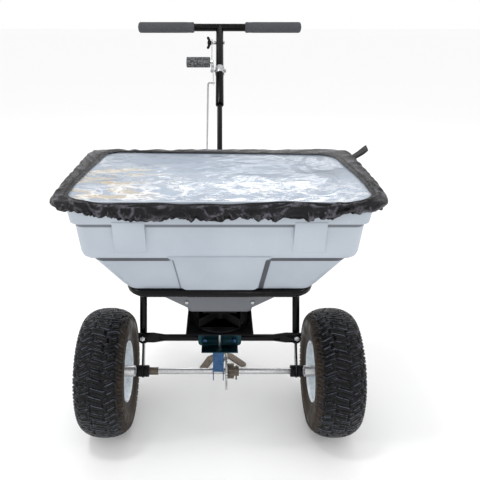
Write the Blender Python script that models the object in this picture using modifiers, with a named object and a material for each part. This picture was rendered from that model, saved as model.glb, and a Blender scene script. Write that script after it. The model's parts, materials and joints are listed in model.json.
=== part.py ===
"""A walk-behind broadcast spreader: pale plastic hopper with a clear-topped rain cover, black tube
frame, two turf wheels, a geared spinner below the outlet, and a T handle with a shutter lever.

Metres, +Z up. The ground is z = 0, the axle lies along X, the front faces -Y and the handle rises
toward +Y. Places are measured from the ground under the axle until the last step, which sets the
origin under the middle of the whole object.
"""

from math import atan2, cos, degrees, hypot, pi, radians, sin

import bmesh
import bpy
from mathutils import Matrix, Vector

# ---------------------------------------------------------------- driving dimensions
GAP = 0.0003              # between pieces that touch
RUNNING_GAP = 0.0006      # round a turning or sliding piece

# wheels and axle
TYRE_RADIUS = 0.165
AXLE_HEIGHT = TYRE_RADIUS  # every height below is set from the axle
TYRE_WIDTH = 0.1195
TYRE_WALL = 0.007
TRACK = 0.580             # between the wheels' middles
RIM_RADIUS = 0.0795
RIM_SEAT_RADIUS = 0.0755
RIM_WELL_RADIUS = 0.062
RIM_WIDTH = 0.102
RIM_SHEET = 0.003
HUB_RADIUS = 0.0145
HUB_LENGTH = 0.136
AXLE_RADIUS = 0.008
AXLE_OVERHANG = 0.014     # of the axle past each hub
PIN_RADIUS = 0.003

# gears
RING_TEETH = 42
PINION_TEETH = 14
RING_RADIUS = 0.048
RING_THICKNESS = 0.005
TOOTH_HEIGHT = 0.0040
PINION_RADIUS = 0.0142
PINION_WIDTH = 0.013
SHAFT_RADIUS = 0.004
COLLAR_RADIUS = 0.0195
COLLAR_LENGTH = 0.030

# hopper
RIM_HEIGHT = AXLE_HEIGHT + 0.535
RIM_HALF_WIDTH = 0.314
RIM_HALF_DEPTH = 0.188
RIM_CORNER = 0.042
FLOOR_HEIGHT = AXLE_HEIGHT + 0.215  # underside of the hopper floor
FLOOR_HALF_WIDTH = 0.076
FLOOR_HALF_DEPTH = 0.058
HOPPER_WALL = 0.0035
BAND_HEIGHT = 0.050       # of the upper band, below the rim
BAND_STEP = 0.0075        # the upper band stands this far out from the lower one
APRON_HALF_WIDTH = 0.094
LEDGE_DROP = 0.131        # of the lower band's foot below the rim
OUTLET_HALF_WIDTH = 0.026
OUTLET_LENGTH = 0.027
OUTLET_MIDDLE_Y = -0.030

# rain cover
COVER_RISE = 0.012        # of the cover's top over the rim
COVER_CLEARANCE = 0.004   # between the rim and the skirt
COVER_CLOTH = 0.010       # thickness of the gathered skirt
COVER_BULGE = 0.004       # of the skirt's fullest line past its hem
COVER_DROP = 0.031        # from the rim down to the hem
WINDOW_HALF_WIDTH = 0.303
WINDOW_HALF_DEPTH = 0.167
WINDOW_MIDDLE_Y = -0.019
WINDOW_CORNER = 0.030
WINDOW_SHEET = 0.0015

# frame
LOOP_RADIUS = 0.011
LOOP_HEIGHT = AXLE_HEIGHT + 0.287
LOOP_HALF_WIDTH = 0.2035
LOOP_HALF_DEPTH = 0.095
LOOP_CORNER = 0.044
LEG_RADIUS = 0.0095
LEG_FOOT_X = 0.201
LEG_TOP_X = 0.1965
LEG_BOLT_Y = 0.040
LEG_TOP_SHIFT = 0.048     # of a leg's top behind its bolt
LEG_BLADE_DROP = 0.022    # of the tube's end below the brace
BLADE_THICKNESS = 0.005
BLADE_WIDTH = 0.026
BRACE_RADIUS = 0.009
BRACE_HEIGHT = AXLE_HEIGHT + 0.088
BRACE_FLAT_HEIGHT = 0.029
BRACE_FLAT_THICKNESS = 0.0045
BUSH_RADIUS = 0.0112
BUSH_FLANGE_RADIUS = 0.0152
BUSH_LENGTH = 0.031
BOLT_RADIUS = 0.004
BOLT_HEAD_RADIUS = 0.0072
BOLT_HEAD_HEIGHT = 0.005

# spinner, shroud and gear carrier
SPINNER_RADIUS = 0.072
SPINNER_HEIGHT = AXLE_HEIGHT + 0.165
SPINNER_DISC = 0.0025
FIN_HEIGHT = 0.020
FIN_COUNT = 4
SHROUD_TOP_HALF_WIDTH = 0.0752
SHROUD_FOOT_HALF_WIDTH = 0.0815
SHROUD_FLOOR_HEIGHT = AXLE_HEIGHT + 0.1555
SHROUD_FRONT_Y = -0.070
SHROUD_BACK_Y = 0.092
SHROUD_WALL = 0.0025
HANGER_HALF_WIDTH = 0.0555
HANGER_BASE_HEIGHT = AXLE_HEIGHT + 0.0715
HANGER_SHEET = 0.003
HANGER_FLANGE_REACH = 0.022
HOUSING_LEFT = -0.0175
HOUSING_RIGHT = 0.0105
HOUSING_FRONT_Y = -0.020
HOUSING_SHEET = 0.0022

# handle
HANDLE_TOP_Y = 0.810
HANDLE_TOP_HEIGHT = AXLE_HEIGHT + 0.816
HANDLE_FOOT_Y = 0.112
HANDLE_FOOT_HEIGHT = AXLE_HEIGHT + 0.275
HANDLE_TUBE_RADIUS = 0.0125
HANDLE_TUBE_WALL = 0.0018
LOWER_TUBE_RADIUS = 0.008
POST_LENGTH = 0.350
SLEEVE_OVERLAP = 0.045
T_BAR_HALF_LENGTH = 0.275
GRIP_RADIUS = 0.0175
GRIP_INNER_X = 0.0865
GRIP_OUTER_X = 0.2785

# shutter control
PIVOT_DROP = 0.205        # of the lever's pivot below the T bar, along the post
LEVER_TRAVEL = radians(24)
ROD_ARM = 0.066           # lever pivot to rod
GRIP_ARM = 0.046          # lever pivot to the middle of the grip block
LINK_ARM = 0.024          # lever pivot to the slotted link's pin
ROD_RADIUS = 0.003
ROD_X = -0.039
LEVER_X = -0.021
LEVER_SHEET = 0.003
LINK_X = -0.0256
LINK_SHEET = 0.0024
LINK_SLOT_HALF_WIDTH = 0.0046
GRIP_BLOCK = Vector((0.075, 0.020, 0.028))
STOP_DROP = 0.075         # of the stop bolt below the T bar, along the post
STOP_RADIUS = 0.003
CRANK_ARM = 0.060
CRANK_X = -0.032
CRANK_SHEET = 0.003
CRANK_HALF_WIDTH = 0.0070
CRANK_Y = 0.125
SHUTTER_HEIGHT = AXLE_HEIGHT + 0.213
SHUTTER_SHEET = 0.002
SHUTTER_HALF_WIDTH = 0.034

# stand
STAND_RADIUS = 0.011
STAND_TOP = Vector((0, 0.128, AXLE_HEIGHT + 0.261))
STAND_FOOT = Vector((0, 0.292, 0.017))
FOOT_SHEET = 0.004
FOOT_WIDTH = 0.024

# ---------------------------------------------------------------- derived places
WHEEL_X = TRACK / 2
AXLE_HALF_LENGTH = WHEEL_X + HUB_LENGTH / 2 + AXLE_OVERHANG
HANDLE_TOP = Vector((0, HANDLE_TOP_Y, HANDLE_TOP_HEIGHT))
HANDLE_RUN = Vector((0, HANDLE_FOOT_Y - HANDLE_TOP_Y, HANDLE_FOOT_HEIGHT - HANDLE_TOP_HEIGHT))
HANDLE_LENGTH = HANDLE_RUN.length
HANDLE_SLOPE = atan2(-HANDLE_RUN.z, -HANDLE_RUN.y)
HANDLE_TILT = HANDLE_SLOPE - pi / 2
ROD_TRAVEL = ROD_ARM * LEVER_TRAVEL
CRANK_TRAVEL = ROD_TRAVEL / CRANK_ARM
FRONT_Y = -(RIM_HALF_DEPTH + COVER_CLEARANCE + COVER_CLOTH + COVER_BULGE)
REAR_Y = HANDLE_TOP_Y + GRIP_RADIUS
MIDDLE_Y = (FRONT_Y + REAR_Y) / 2
RING_FACE_X = PINION_RADIUS + RUNNING_GAP
PINION_HEIGHT = AXLE_HEIGHT + RING_RADIUS - PINION_WIDTH / 2

COLOURS = {
    "hopper_plastic": ((0.62, 0.67, 0.74), 0.45, 0.0),
    "black_gloss_paint": ((0.010, 0.010, 0.012), 0.25, 0.0),
    "black_plastic": ((0.014, 0.014, 0.016), 0.5, 0.0),
    "zinc": ((0.60, 0.61, 0.63), 0.35, 1.0),
    "blue_steel": ((0.035, 0.075, 0.150), 0.4, 1.0),
    "teal_steel": ((0.030, 0.070, 0.085), 0.35, 1.0),
    "worn_steel": ((0.20, 0.17, 0.15), 0.6, 1.0),
    "foam": ((0.045, 0.047, 0.050), 0.9, 0.0),
    "tyre_rubber": ((0.018, 0.018, 0.020), 0.75, 0.0),
    "white_paint": ((0.80, 0.86, 0.92), 0.35, 0.0),
    "nylon_cloth": ((0.012, 0.012, 0.014), 0.7, 0.0),
    "clear_film": ((0.85, 0.87, 0.88), 0.08, 0.0),
}

parts = None
cutters = None


# ---------------------------------------------------------------- helpers
def start():
    """Empties the scene and makes the two collections."""
    global parts, cutters
    for obj in list(bpy.data.objects):
        bpy.data.objects.remove(obj)
    parts = bpy.data.collections.new("broadcast_spreader")
    cutters = bpy.data.collections.new("spreader_cutters")
    bpy.context.scene.collection.children.link(parts)
    bpy.context.scene.collection.children.link(cutters)


def material(name):
    """The named finish, made once."""
    found = bpy.data.materials.get(name)
    if found:
        return found
    colour, roughness, metallic = COLOURS[name]
    made = bpy.data.materials.new(name)
    made.use_nodes = True
    shader = made.node_tree.nodes["Principled BSDF"]
    shader.inputs["Base Color"].default_value = (*colour, 1)
    shader.inputs["Roughness"].default_value = roughness
    shader.inputs["Metallic"].default_value = metallic
    made.diffuse_color = (*colour, 1)
    return made


def place(name, data, finish=None, parent=None, at=(0, 0, 0), turn=(0, 0, 0)):
    """An object of this data; without a finish it is a helper that shapes another piece."""
    obj = bpy.data.objects.new(name, data)
    obj.location = at
    obj.rotation_euler = turn
    obj.parent = parent
    if finish:
        data.materials.append(material(finish))
        parts.objects.link(obj)
    else:
        obj.hide_render = True
        obj.display_type = "WIRE"
        cutters.objects.link(obj)
    return obj


def joint_empty(name, at, parent=None, turn=(0, 0, 0)):
    """An empty on a joint's axis, which its moving pieces hang from."""
    empty = bpy.data.objects.new(name, None)
    empty.empty_display_size = 0.05
    empty.location = at
    empty.rotation_euler = turn
    empty.parent = parent
    parts.objects.link(empty)
    return empty


def mesh_of(name, bm):
    """A mesh from this bmesh, shaded smooth with sharp edges kept."""
    bmesh.ops.recalc_face_normals(bm, faces=bm.faces)
    mesh = bpy.data.meshes.new(name)
    bm.to_mesh(mesh)
    bm.free()
    mesh.shade_smooth()
    mesh.set_sharp_from_angle(angle=radians(35))
    return mesh


def box(name, low, high, finish=None, parent=None, bevel=0.0):
    """A box between two corners."""
    bm = bmesh.new()
    low = Vector(low)
    high = Vector(high)
    bmesh.ops.create_cube(bm, size=1)
    bmesh.ops.scale(bm, vec=high - low, verts=bm.verts)
    obj = place(name, mesh_of(name, bm), finish, parent, (low + high) / 2)
    if bevel:
        rounding = obj.modifiers.new("rounding", "BEVEL")
        rounding.width = bevel
        rounding.segments = 2
    return obj


def facing(direction):
    """The rotation that turns +Z to this direction."""
    return Vector(direction).to_track_quat("Z", "Y").to_euler()


def rod(name, start_at, end_at, radius, finish=None, parent=None, sides=16):
    """A round bar from one point to another."""
    run = Vector(end_at) - Vector(start_at)
    bm = bmesh.new()
    bmesh.ops.create_cone(
        bm, cap_ends=True, segments=sides, radius1=radius, radius2=radius, depth=run.length
    )
    middle = (Vector(start_at) + Vector(end_at)) / 2
    return place(name, mesh_of(name, bm), finish, parent, middle, facing(run))


def turned(name, profile, finish=None, parent=None, at=(0, 0, 0), axis=(0, 0, 1), steps=32, ring=True):
    """A profile of (radius, height) points turned about an axis; a ring's profile is a closed loop."""
    bm = bmesh.new()
    corners = [bm.verts.new((radius, 0, height)) for radius, height in profile]
    count = len(corners) if ring else len(corners) - 1
    for i in range(count):
        bm.edges.new((corners[i], corners[(i + 1) % len(corners)]))
    mesh = bpy.data.meshes.new(name)
    bm.to_mesh(mesh)
    bm.free()
    obj = place(name, mesh, finish, parent, at, facing(axis))
    screw = obj.modifiers.new("turning", "SCREW")
    screw.steps = steps
    screw.render_steps = steps
    screw.use_merge_vertices = True
    screw.merge_threshold = 0.00001
    screw.use_smooth_shade = False
    return obj


def tube(name, start_at, end_at, outer, inner, finish=None, parent=None, sides=20):
    """A straight round tube between two points."""
    run = Vector(end_at) - Vector(start_at)
    profile = [(outer, run.length), (outer, 0), (inner, 0), (inner, run.length)]
    return turned(name, profile, finish, parent, start_at, run, sides)


def bent_bar(name, points, radius, finish=None, parent=None, closed=False):
    """A round bar along a line of points, as a mesh whose caps are welded."""
    line = bpy.data.curves.new(name + "_line", "CURVE")
    line.dimensions = "3D"
    line.bevel_depth = radius
    line.bevel_resolution = 4
    line.use_fill_caps = not closed
    spline = line.splines.new("POLY")
    spline.points.add(len(points) - 1)
    for place_on, point in zip(spline.points, points):
        place_on.co = (*point, 1)
    spline.use_cyclic_u = closed
    guide = bpy.data.objects.new(name + "_guide", line)
    bpy.context.scene.collection.objects.link(guide)
    bpy.context.view_layer.update()
    graph = bpy.context.evaluated_depsgraph_get()
    mesh = bpy.data.meshes.new_from_object(guide.evaluated_get(graph))
    bpy.data.objects.remove(guide)
    bm = bmesh.new()
    bm.from_mesh(mesh)
    bmesh.ops.remove_doubles(bm, verts=bm.verts, dist=0.00001)
    bm.to_mesh(mesh)
    bm.free()
    mesh.name = name
    mesh.materials.clear()
    mesh.shade_smooth()
    mesh.set_sharp_from_angle(angle=radians(50))
    return place(name, mesh, finish, parent)


def flat_plate(name, outlines, thickness, finish=None, parent=None, at=(0, 0, 0), turn=(0, 0, 0)):
    """A flat outline, with holes as further outlines, given a thickness about its own plane."""
    shape = bpy.data.curves.new(name, "CURVE")
    shape.dimensions = "2D"
    shape.fill_mode = "BOTH"
    shape.extrude = thickness / 2
    for outline in outlines:
        spline = shape.splines.new("POLY")
        spline.points.add(len(outline) - 1)
        for corner, (across, up) in zip(spline.points, outline):
            corner.co = (across, up, 0, 1)
        spline.use_cyclic_u = True
    guide = bpy.data.objects.new(name + "_guide", shape)
    bpy.context.scene.collection.objects.link(guide)
    bpy.context.view_layer.update()
    graph = bpy.context.evaluated_depsgraph_get()
    mesh = bpy.data.meshes.new_from_object(guide.evaluated_get(graph))
    bpy.data.objects.remove(guide)
    bm = bmesh.new()
    bm.from_mesh(mesh)
    bmesh.ops.remove_doubles(bm, verts=bm.verts, dist=0.00001)
    bmesh.ops.recalc_face_normals(bm, faces=bm.faces)
    bm.to_mesh(mesh)
    bm.free()
    mesh.name = name
    mesh.materials.clear()
    return place(name, mesh, finish, parent, at, turn)


def side_plate(name, outlines, x, thickness, finish=None, parent=None, at=(0, 0, 0)):
    """A flat plate that stands across X, its outline given in (y, z)."""
    at = Vector(at) + Vector((x, 0, 0))
    return flat_plate(name, outlines, thickness, finish, parent, at, (pi / 2, 0, pi / 2))


def circle(centre, radius, count=16):
    """Points round a circle."""
    turns = [2 * pi * i / count for i in range(count)]
    return [(centre[0] + radius * cos(t), centre[1] + radius * sin(t)) for t in turns]


def strap(points, half_width, count=6):
    """The outline of a flat strap along a line of points, with round ends."""
    points = [Vector(p) for p in points]
    sides = [[], []]
    for i, point in enumerate(points):
        before = (point - points[max(i - 1, 0)]).normalized()
        after = (points[min(i + 1, len(points) - 1)] - point).normalized()
        along = (before + after).normalized()
        across = Vector((-along.y, along.x))
        stretch = half_width / max(cos(along.angle(after if after.length else before)), 0.3)
        sides[0].append(point + across * stretch)
        sides[1].append(point - across * stretch)
    outline = list(reversed(sides[0]))
    outline += round_end(points[0], points[0] - points[1], half_width, count)
    outline += sides[1]
    outline += round_end(points[-1], points[-1] - points[-2], half_width, count)
    return [tuple(p) for p in outline]


def round_end(middle, outward, radius, count):
    """The points of a half circle that closes a strap's end, between its two corners."""
    start_angle = atan2(outward.y, outward.x) - pi / 2
    if count < 2:
        return []
    turns = [start_angle + pi * i / count for i in range(1, count)]
    return [middle + Vector((cos(t), sin(t))) * radius for t in turns]


def rounded_rectangle(half_width, half_depth, corner, count=5):
    """Points round a rectangle with round corners, starting at its +X side."""
    points = []
    for quarter, (sx, sy) in enumerate(((1, 1), (-1, 1), (-1, -1), (1, -1))):
        for i in range(count + 1):
            t = (quarter + i / count) * pi / 2
            x = sx * (half_width - corner) + corner * cos(t)
            y = sy * (half_depth - corner) + corner * sin(t)
            points.append((x, y))
    return points


def loft(name, sections, closed_ring=False):
    """A skin through rounded rectangles, each (half width, half depth, corner, height, middle y)."""
    bm = bmesh.new()
    loops = []
    for half_width, half_depth, corner, height, middle in sections:
        outline = rounded_rectangle(half_width, half_depth, corner)
        loops.append([bm.verts.new((x, y + middle, height)) for x, y in outline])
    pairs = list(zip(loops, loops[1:]))
    if closed_ring:
        pairs.append((loops[-1], loops[0]))
    for lower, upper in pairs:
        for i in range(len(lower)):
            j = (i + 1) % len(lower)
            bm.faces.new((lower[i], lower[j], upper[j], upper[i]))
    return mesh_of(name, bm)


def hexahedron(name, corners, finish=None):
    """A block whose eight corners are given, the lower four and then the upper four."""
    bm = bmesh.new()
    bmesh.ops.create_cube(bm, size=1)
    order = sorted(bm.verts, key=lambda v: (v.co.z, v.co.y, v.co.x))
    for vert, corner in zip(order, corners):
        vert.co = corner
    return place(name, mesh_of(name, bm), finish)


def boolean(obj, other, operation):
    """Cuts another shape from a piece, or joins it on."""
    change = obj.modifiers.new(operation.lower(), "BOOLEAN")
    change.operation = operation
    change.solver = "EXACT"
    change.object = other


def cut(obj, *others):
    """Takes each of these shapes out of a piece."""
    for other in others:
        boolean(obj, other, "DIFFERENCE")


def join(obj, *others):
    """Makes each of these shapes one with a piece."""
    for other in others:
        boolean(obj, other, "UNION")


def gear_outline(teeth, tip, root):
    """A gear's outline: each tooth has a root, two flanks and a tip."""
    points = []
    pitch = 2 * pi / teeth
    for i in range(teeth):
        for share, radius in ((0.0, root), (0.28, root), (0.42, tip), (0.86, tip)):
            turn = (i + share) * pitch
            points.append((radius * cos(turn), radius * sin(turn)))
    return points


def bolt(name, head_at, end_at, radius, head_radius, finish="zinc", parent=None, nut=True):
    """A hexagon-head bolt whose head sits outside the first point, with a nut past the second."""
    head_at = Vector(head_at)
    end_at = Vector(end_at)
    along = (end_at - head_at).normalized()
    reach = along * BOLT_HEAD_HEIGHT
    shank_end = end_at + reach * 1.4 if nut else end_at
    piece = rod(name, head_at - reach / 2, shank_end, radius, finish, parent, 12)
    shapes = [rod(name + "_head", head_at - reach, head_at, head_radius, None, parent, 6)]
    if nut:
        shapes.append(rod(name + "_nut", end_at, end_at + reach, head_radius, None, parent, 6))
    join(piece, *shapes)
    return piece


# ---------------------------------------------------------------- hopper and cover
def hopper_sections():
    """The hopper's outer skin from the rim down: half width, half depth, corner, height, middle."""
    step_top = RIM_HEIGHT - BAND_HEIGHT
    ledge = RIM_HEIGHT - LEDGE_DROP
    shoulder = LOOP_HEIGHT + LOOP_RADIUS + GAP
    inside_loop_x = LOOP_HALF_WIDTH - LOOP_RADIUS - 0.003
    inside_loop_y = LOOP_HALF_DEPTH - LOOP_RADIUS - 0.003
    band_x = RIM_HALF_WIDTH - 0.014
    band_y = RIM_HALF_DEPTH - 0.008
    lower_x = band_x - BAND_STEP
    lower_y = band_y - BAND_STEP
    return [
        (RIM_HALF_WIDTH, RIM_HALF_DEPTH, RIM_CORNER, RIM_HEIGHT, 0),
        (RIM_HALF_WIDTH, RIM_HALF_DEPTH, RIM_CORNER, RIM_HEIGHT - 0.006, 0),
        (RIM_HALF_WIDTH - 0.005, RIM_HALF_DEPTH - 0.004, RIM_CORNER - 0.005, RIM_HEIGHT - 0.011, 0),
        (band_x, band_y, 0.024, step_top, 0),
        (lower_x, lower_y, 0.022, step_top - 0.0005, 0),
        (lower_x - 0.006, lower_y - 0.005, 0.022, ledge + 0.013, 0),
        (lower_x - 0.009, lower_y - 0.007, 0.022, ledge + 0.004, 0),
        (lower_x - 0.014, lower_y - 0.010, 0.022, ledge, 0),
        (lower_x - 0.021, lower_y - 0.017, 0.022, ledge - 0.0005, 0),
        (LOOP_HALF_WIDTH + 0.018, LOOP_HALF_DEPTH + 0.007, 0.028, shoulder + 0.012, 0),
        (LOOP_HALF_WIDTH + 0.006, LOOP_HALF_DEPTH + 0.002, 0.026, shoulder, 0),
        (inside_loop_x, inside_loop_y, LOOP_CORNER - LOOP_RADIUS, shoulder, 0),
        (0.135, 0.066, 0.022, FLOOR_HEIGHT + 0.040, 0),
        (FLOOR_HALF_WIDTH + 0.002, FLOOR_HALF_DEPTH + 0.002, 0.014, FLOOR_HEIGHT + 0.008, 0),
        (FLOOR_HALF_WIDTH, FLOOR_HALF_DEPTH, 0.012, FLOOR_HEIGHT, 0),
        (SHAFT_RADIUS + 0.002, SHAFT_RADIUS + 0.002, SHAFT_RADIUS + 0.002, FLOOR_HEIGHT, 0),
    ]


def wall_at(height):
    """Half width and half depth of the hopper's outer skin at a height."""
    sections = hopper_sections()
    for upper, lower in zip(sections, sections[1:]):
        if lower[3] <= height <= upper[3]:
            share = (upper[3] - height) / max(upper[3] - lower[3], 1e-9)
            return [upper[i] + share * (lower[i] - upper[i]) for i in (0, 1)]
    return [sections[-2][0], sections[-2][1]]


def front_block(name, side, inner_x, outer_x, taper, top, foot, top_out, foot_out):
    """A raised panel on the front (side -1) or back wall, rooted half way into the wall."""
    root = HOPPER_WALL / 2
    rows = []
    for height, out, narrow in ((foot, foot_out, taper), (top, top_out, 0.0)):
        depth = wall_at(height)[1]
        low_x = inner_x + narrow if inner_x > 0 or outer_x > 0 and inner_x < 0 else inner_x
        high_x = outer_x - narrow
        inside = side * (depth - root)
        outside = side * (depth + out)
        first, second = sorted((inside, outside))
        rows += [
            (low_x, first, height),
            (high_x, first, height),
            (low_x, second, height),
            (high_x, second, height),
        ]
    return hexahedron(name, rows)


def apron_outline(top, ledge, foot):
    """The apron seen from the front: it flares into the ledge and has round lower corners."""
    half, flare, corner, taper = APRON_HALF_WIDTH, 0.012, 0.012, 0.010
    points = [(-half - flare, top), (half + flare, top)]
    turns = [i * pi / 10 for i in range(6)]
    right = [(half + flare - flare * sin(t), ledge - flare + flare * cos(t)) for t in turns]
    right += [
        (half - taper - corner + corner * cos(t), foot + corner - corner * sin(t)) for t in turns
    ]
    left = [(-x, z) for x, z in right[::-1]]
    return points + right + left


def build_hopper():
    """The pale moulded hopper, with its apron and its raised side panels, front and back."""
    mesh = loft("hopper", hopper_sections())
    hopper = place("hopper", mesh, "hopper_plastic")
    shell = hopper.modifiers.new("wall", "SOLIDIFY")
    shell.thickness = HOPPER_WALL
    shell.offset = -1
    step_top = RIM_HEIGHT - BAND_HEIGHT
    ledge = RIM_HEIGHT - LEDGE_DROP
    apron_foot = LOOP_HEIGHT + LOOP_RADIUS + 2 * GAP
    apron_reach = LOOP_HALF_DEPTH + 0.010
    for side, word in ((-1, "front"), (1, "back")):
        apron = front_block(
            "apron_" + word, side, -APRON_HALF_WIDTH - 0.03, APRON_HALF_WIDTH + 0.03, 0.0,
            ledge + 0.004, apron_foot, 0.0015, apron_reach - wall_at(apron_foot)[1],
        )
        outline = apron_outline(ledge + 0.012, ledge - 0.0005, apron_foot)
        shape = flat_plate(
            "apron_shape_" + word, [outline], 2 * RIM_HALF_DEPTH, None, None,
            (0, side * RIM_HALF_DEPTH, 0), (pi / 2, 0, 0),
        )
        boolean(apron, shape, "INTERSECT")
        pads = [
            front_block(
                f"pad_{word}_{hand}", side, low, high, 0.0, step_top + 0.004, ledge + 0.016,
                0.0012, 0.0015,
            )
            for hand, low, high in (("left", -0.213, -0.149), ("right", 0.149, 0.213))
        ]
        join(hopper, apron, *pads)
    half_outlet = OUTLET_LENGTH / 2
    outlet = box(
        "outlet_cutter",
        (-OUTLET_HALF_WIDTH, OUTLET_MIDDLE_Y - half_outlet, FLOOR_HEIGHT - 0.010),
        (OUTLET_HALF_WIDTH, OUTLET_MIDDLE_Y + half_outlet, FLOOR_HEIGHT + 0.012),
    )
    cut(hopper, outlet)
    return hopper


def build_hopper_screws():
    """Two screws that hold the hopper's foot, on its front face just below the frame loop."""
    height = FLOOR_HEIGHT + 0.028
    depth = wall_at(height)[1]
    lean = (wall_at(height + 0.005)[1] - depth) / 0.005
    for word, side in (("left", -1), ("right", 1)):
        turned(
            "hopper_screw_" + word,
            [(0, 0.004), (0.0035, 0.0032), (0.005, 0.0012), (0.005, 0), (0, 0)],
            "zinc", None, (side * 0.077, -depth - GAP, height - lean * GAP), (0, -1, -lean), 12, ring=False,
        )


def build_cover(lift):
    """The rain cover: a cloth border with a hanging skirt, its clear window and a pull tab."""
    inner_x = RIM_HALF_WIDTH + COVER_CLEARANCE
    inner_y = RIM_HALF_DEPTH + COVER_CLEARANCE
    outer_x = inner_x + COVER_CLOTH
    outer_y = inner_y + COVER_CLOTH
    outer_corner = RIM_CORNER + COVER_CLEARANCE + COVER_CLOTH
    under = RIM_HEIGHT + GAP
    top = RIM_HEIGHT + COVER_RISE
    hem = RIM_HEIGHT - COVER_DROP
    ring_x = WINDOW_HALF_WIDTH + GAP
    ring_y = WINDOW_HALF_DEPTH + GAP
    sections = [
        (outer_x, outer_y, outer_corner, hem, 0),
        (outer_x + COVER_BULGE, outer_y + COVER_BULGE, outer_corner + COVER_BULGE, RIM_HEIGHT - 0.004, 0),
        (outer_x, outer_y, outer_corner, top - 0.003, 0),
        (outer_x - 0.010, outer_y - 0.010, outer_corner - 0.010, top, 0),
        (ring_x, ring_y, WINDOW_CORNER, top - 0.003, WINDOW_MIDDLE_Y),
        (ring_x, ring_y, WINDOW_CORNER, under + 0.001, WINDOW_MIDDLE_Y),
        (inner_x, inner_y, RIM_CORNER, under, 0),
        (inner_x, inner_y, RIM_CORNER, hem, 0),
    ]
    local = [(w, d, c, h - RIM_HEIGHT, m) for w, d, c, h, m in sections]
    place("cover_border", loft("cover_border", local, closed_ring=True), "nylon_cloth", lift)
    window = rounded_rectangle(WINDOW_HALF_WIDTH, WINDOW_HALF_DEPTH, WINDOW_CORNER)
    flat_plate(
        "cover_window", [window], WINDOW_SHEET, "clear_film", lift,
        (0, WINDOW_MIDDLE_Y, top - 0.005 - RIM_HEIGHT),
    )
    start_x = outer_x + COVER_BULGE + GAP
    box(
        "pull_tab", (start_x, 0.128, -0.006), (start_x + 0.032, 0.152, -0.003),
        "nylon_cloth", lift, 0.0008,
    )


# ---------------------------------------------------------------- frame
def leg_points(side):
    """A leg's tube: under the loop's side bar at the top, in line with the blade at its foot."""
    top = Vector((side * LEG_TOP_X, LEG_BOLT_Y + LEG_TOP_SHIFT, LOOP_HEIGHT - LOOP_RADIUS - 0.0045))
    share = LEG_BLADE_DROP / (top.z - BRACE_HEIGHT)
    low_y = LEG_BOLT_Y - LEG_TOP_SHIFT * share
    return top, Vector((side * LEG_FOOT_X, low_y, BRACE_HEIGHT - LEG_BLADE_DROP))


def leg_slope():
    """How far a leg leans back for each metre it rises."""
    top, low = leg_points(1)
    return (top.y - low.y) / (top.z - low.z)


def brace_flat_y():
    """The middle of the brace's crushed ends, which bear on the fronts of the leaning legs."""
    leg_front = LEG_BOLT_Y - LEG_RADIUS * hypot(1, leg_slope()) - leg_slope() * BRACE_FLAT_HEIGHT / 2
    return leg_front - GAP - BRACE_FLAT_THICKNESS / 2


def build_loop():
    """The tube loop that the hopper rests in."""
    outline = rounded_rectangle(LOOP_HALF_WIDTH, LOOP_HALF_DEPTH, LOOP_CORNER, 6)
    points = [(x, y, LOOP_HEIGHT) for x, y in outline]
    bent_bar("cradle_loop", points, LOOP_RADIUS, "black_gloss_paint", closed=True)


def build_leg(word, side):
    """A leg: round tube above, crushed flat below into a blade that carries the axle bush."""
    top, low = leg_points(side)
    leg = rod("leg_" + word, top, low, LEG_RADIUS, "black_gloss_paint", sides=16)
    eye = (0, AXLE_HEIGHT)
    half = BLADE_WIDTH / 2
    blade_top = (low.y + 0.003, low.z + 0.016)
    outline = [
        (blade_top[0] - LEG_RADIUS * 0.9, blade_top[1]),
        (blade_top[0] - half * 0.95, blade_top[1] - 0.022),
    ]
    outline += [
        (eye[0] + (half + 0.004) * cos(t), eye[1] + (half + 0.004) * sin(t))
        for t in [pi * 0.94 + pi * 1.16 * i / 12 for i in range(13)]
    ]
    outline += [
        (blade_top[0] + half * 0.95, blade_top[1] - 0.022),
        (blade_top[0] + LEG_RADIUS * 0.9, blade_top[1]),
    ]
    x = side * LEG_FOOT_X
    blade = side_plate(
        f"leg_blade_{word}", [outline, circle(eye, BUSH_RADIUS + GAP)], x, BLADE_THICKNESS
    )
    middle = top.lerp(low, (top.z - BRACE_HEIGHT) / (top.z - low.z))
    hole = rod(
        f"leg_hole_{word}", middle + Vector((0, -0.03, 0)), middle + Vector((0, 0.03, 0)),
        BOLT_RADIUS + GAP, sides=12,
    )
    join(leg, blade)
    cut(leg, hole)
    return middle


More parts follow.
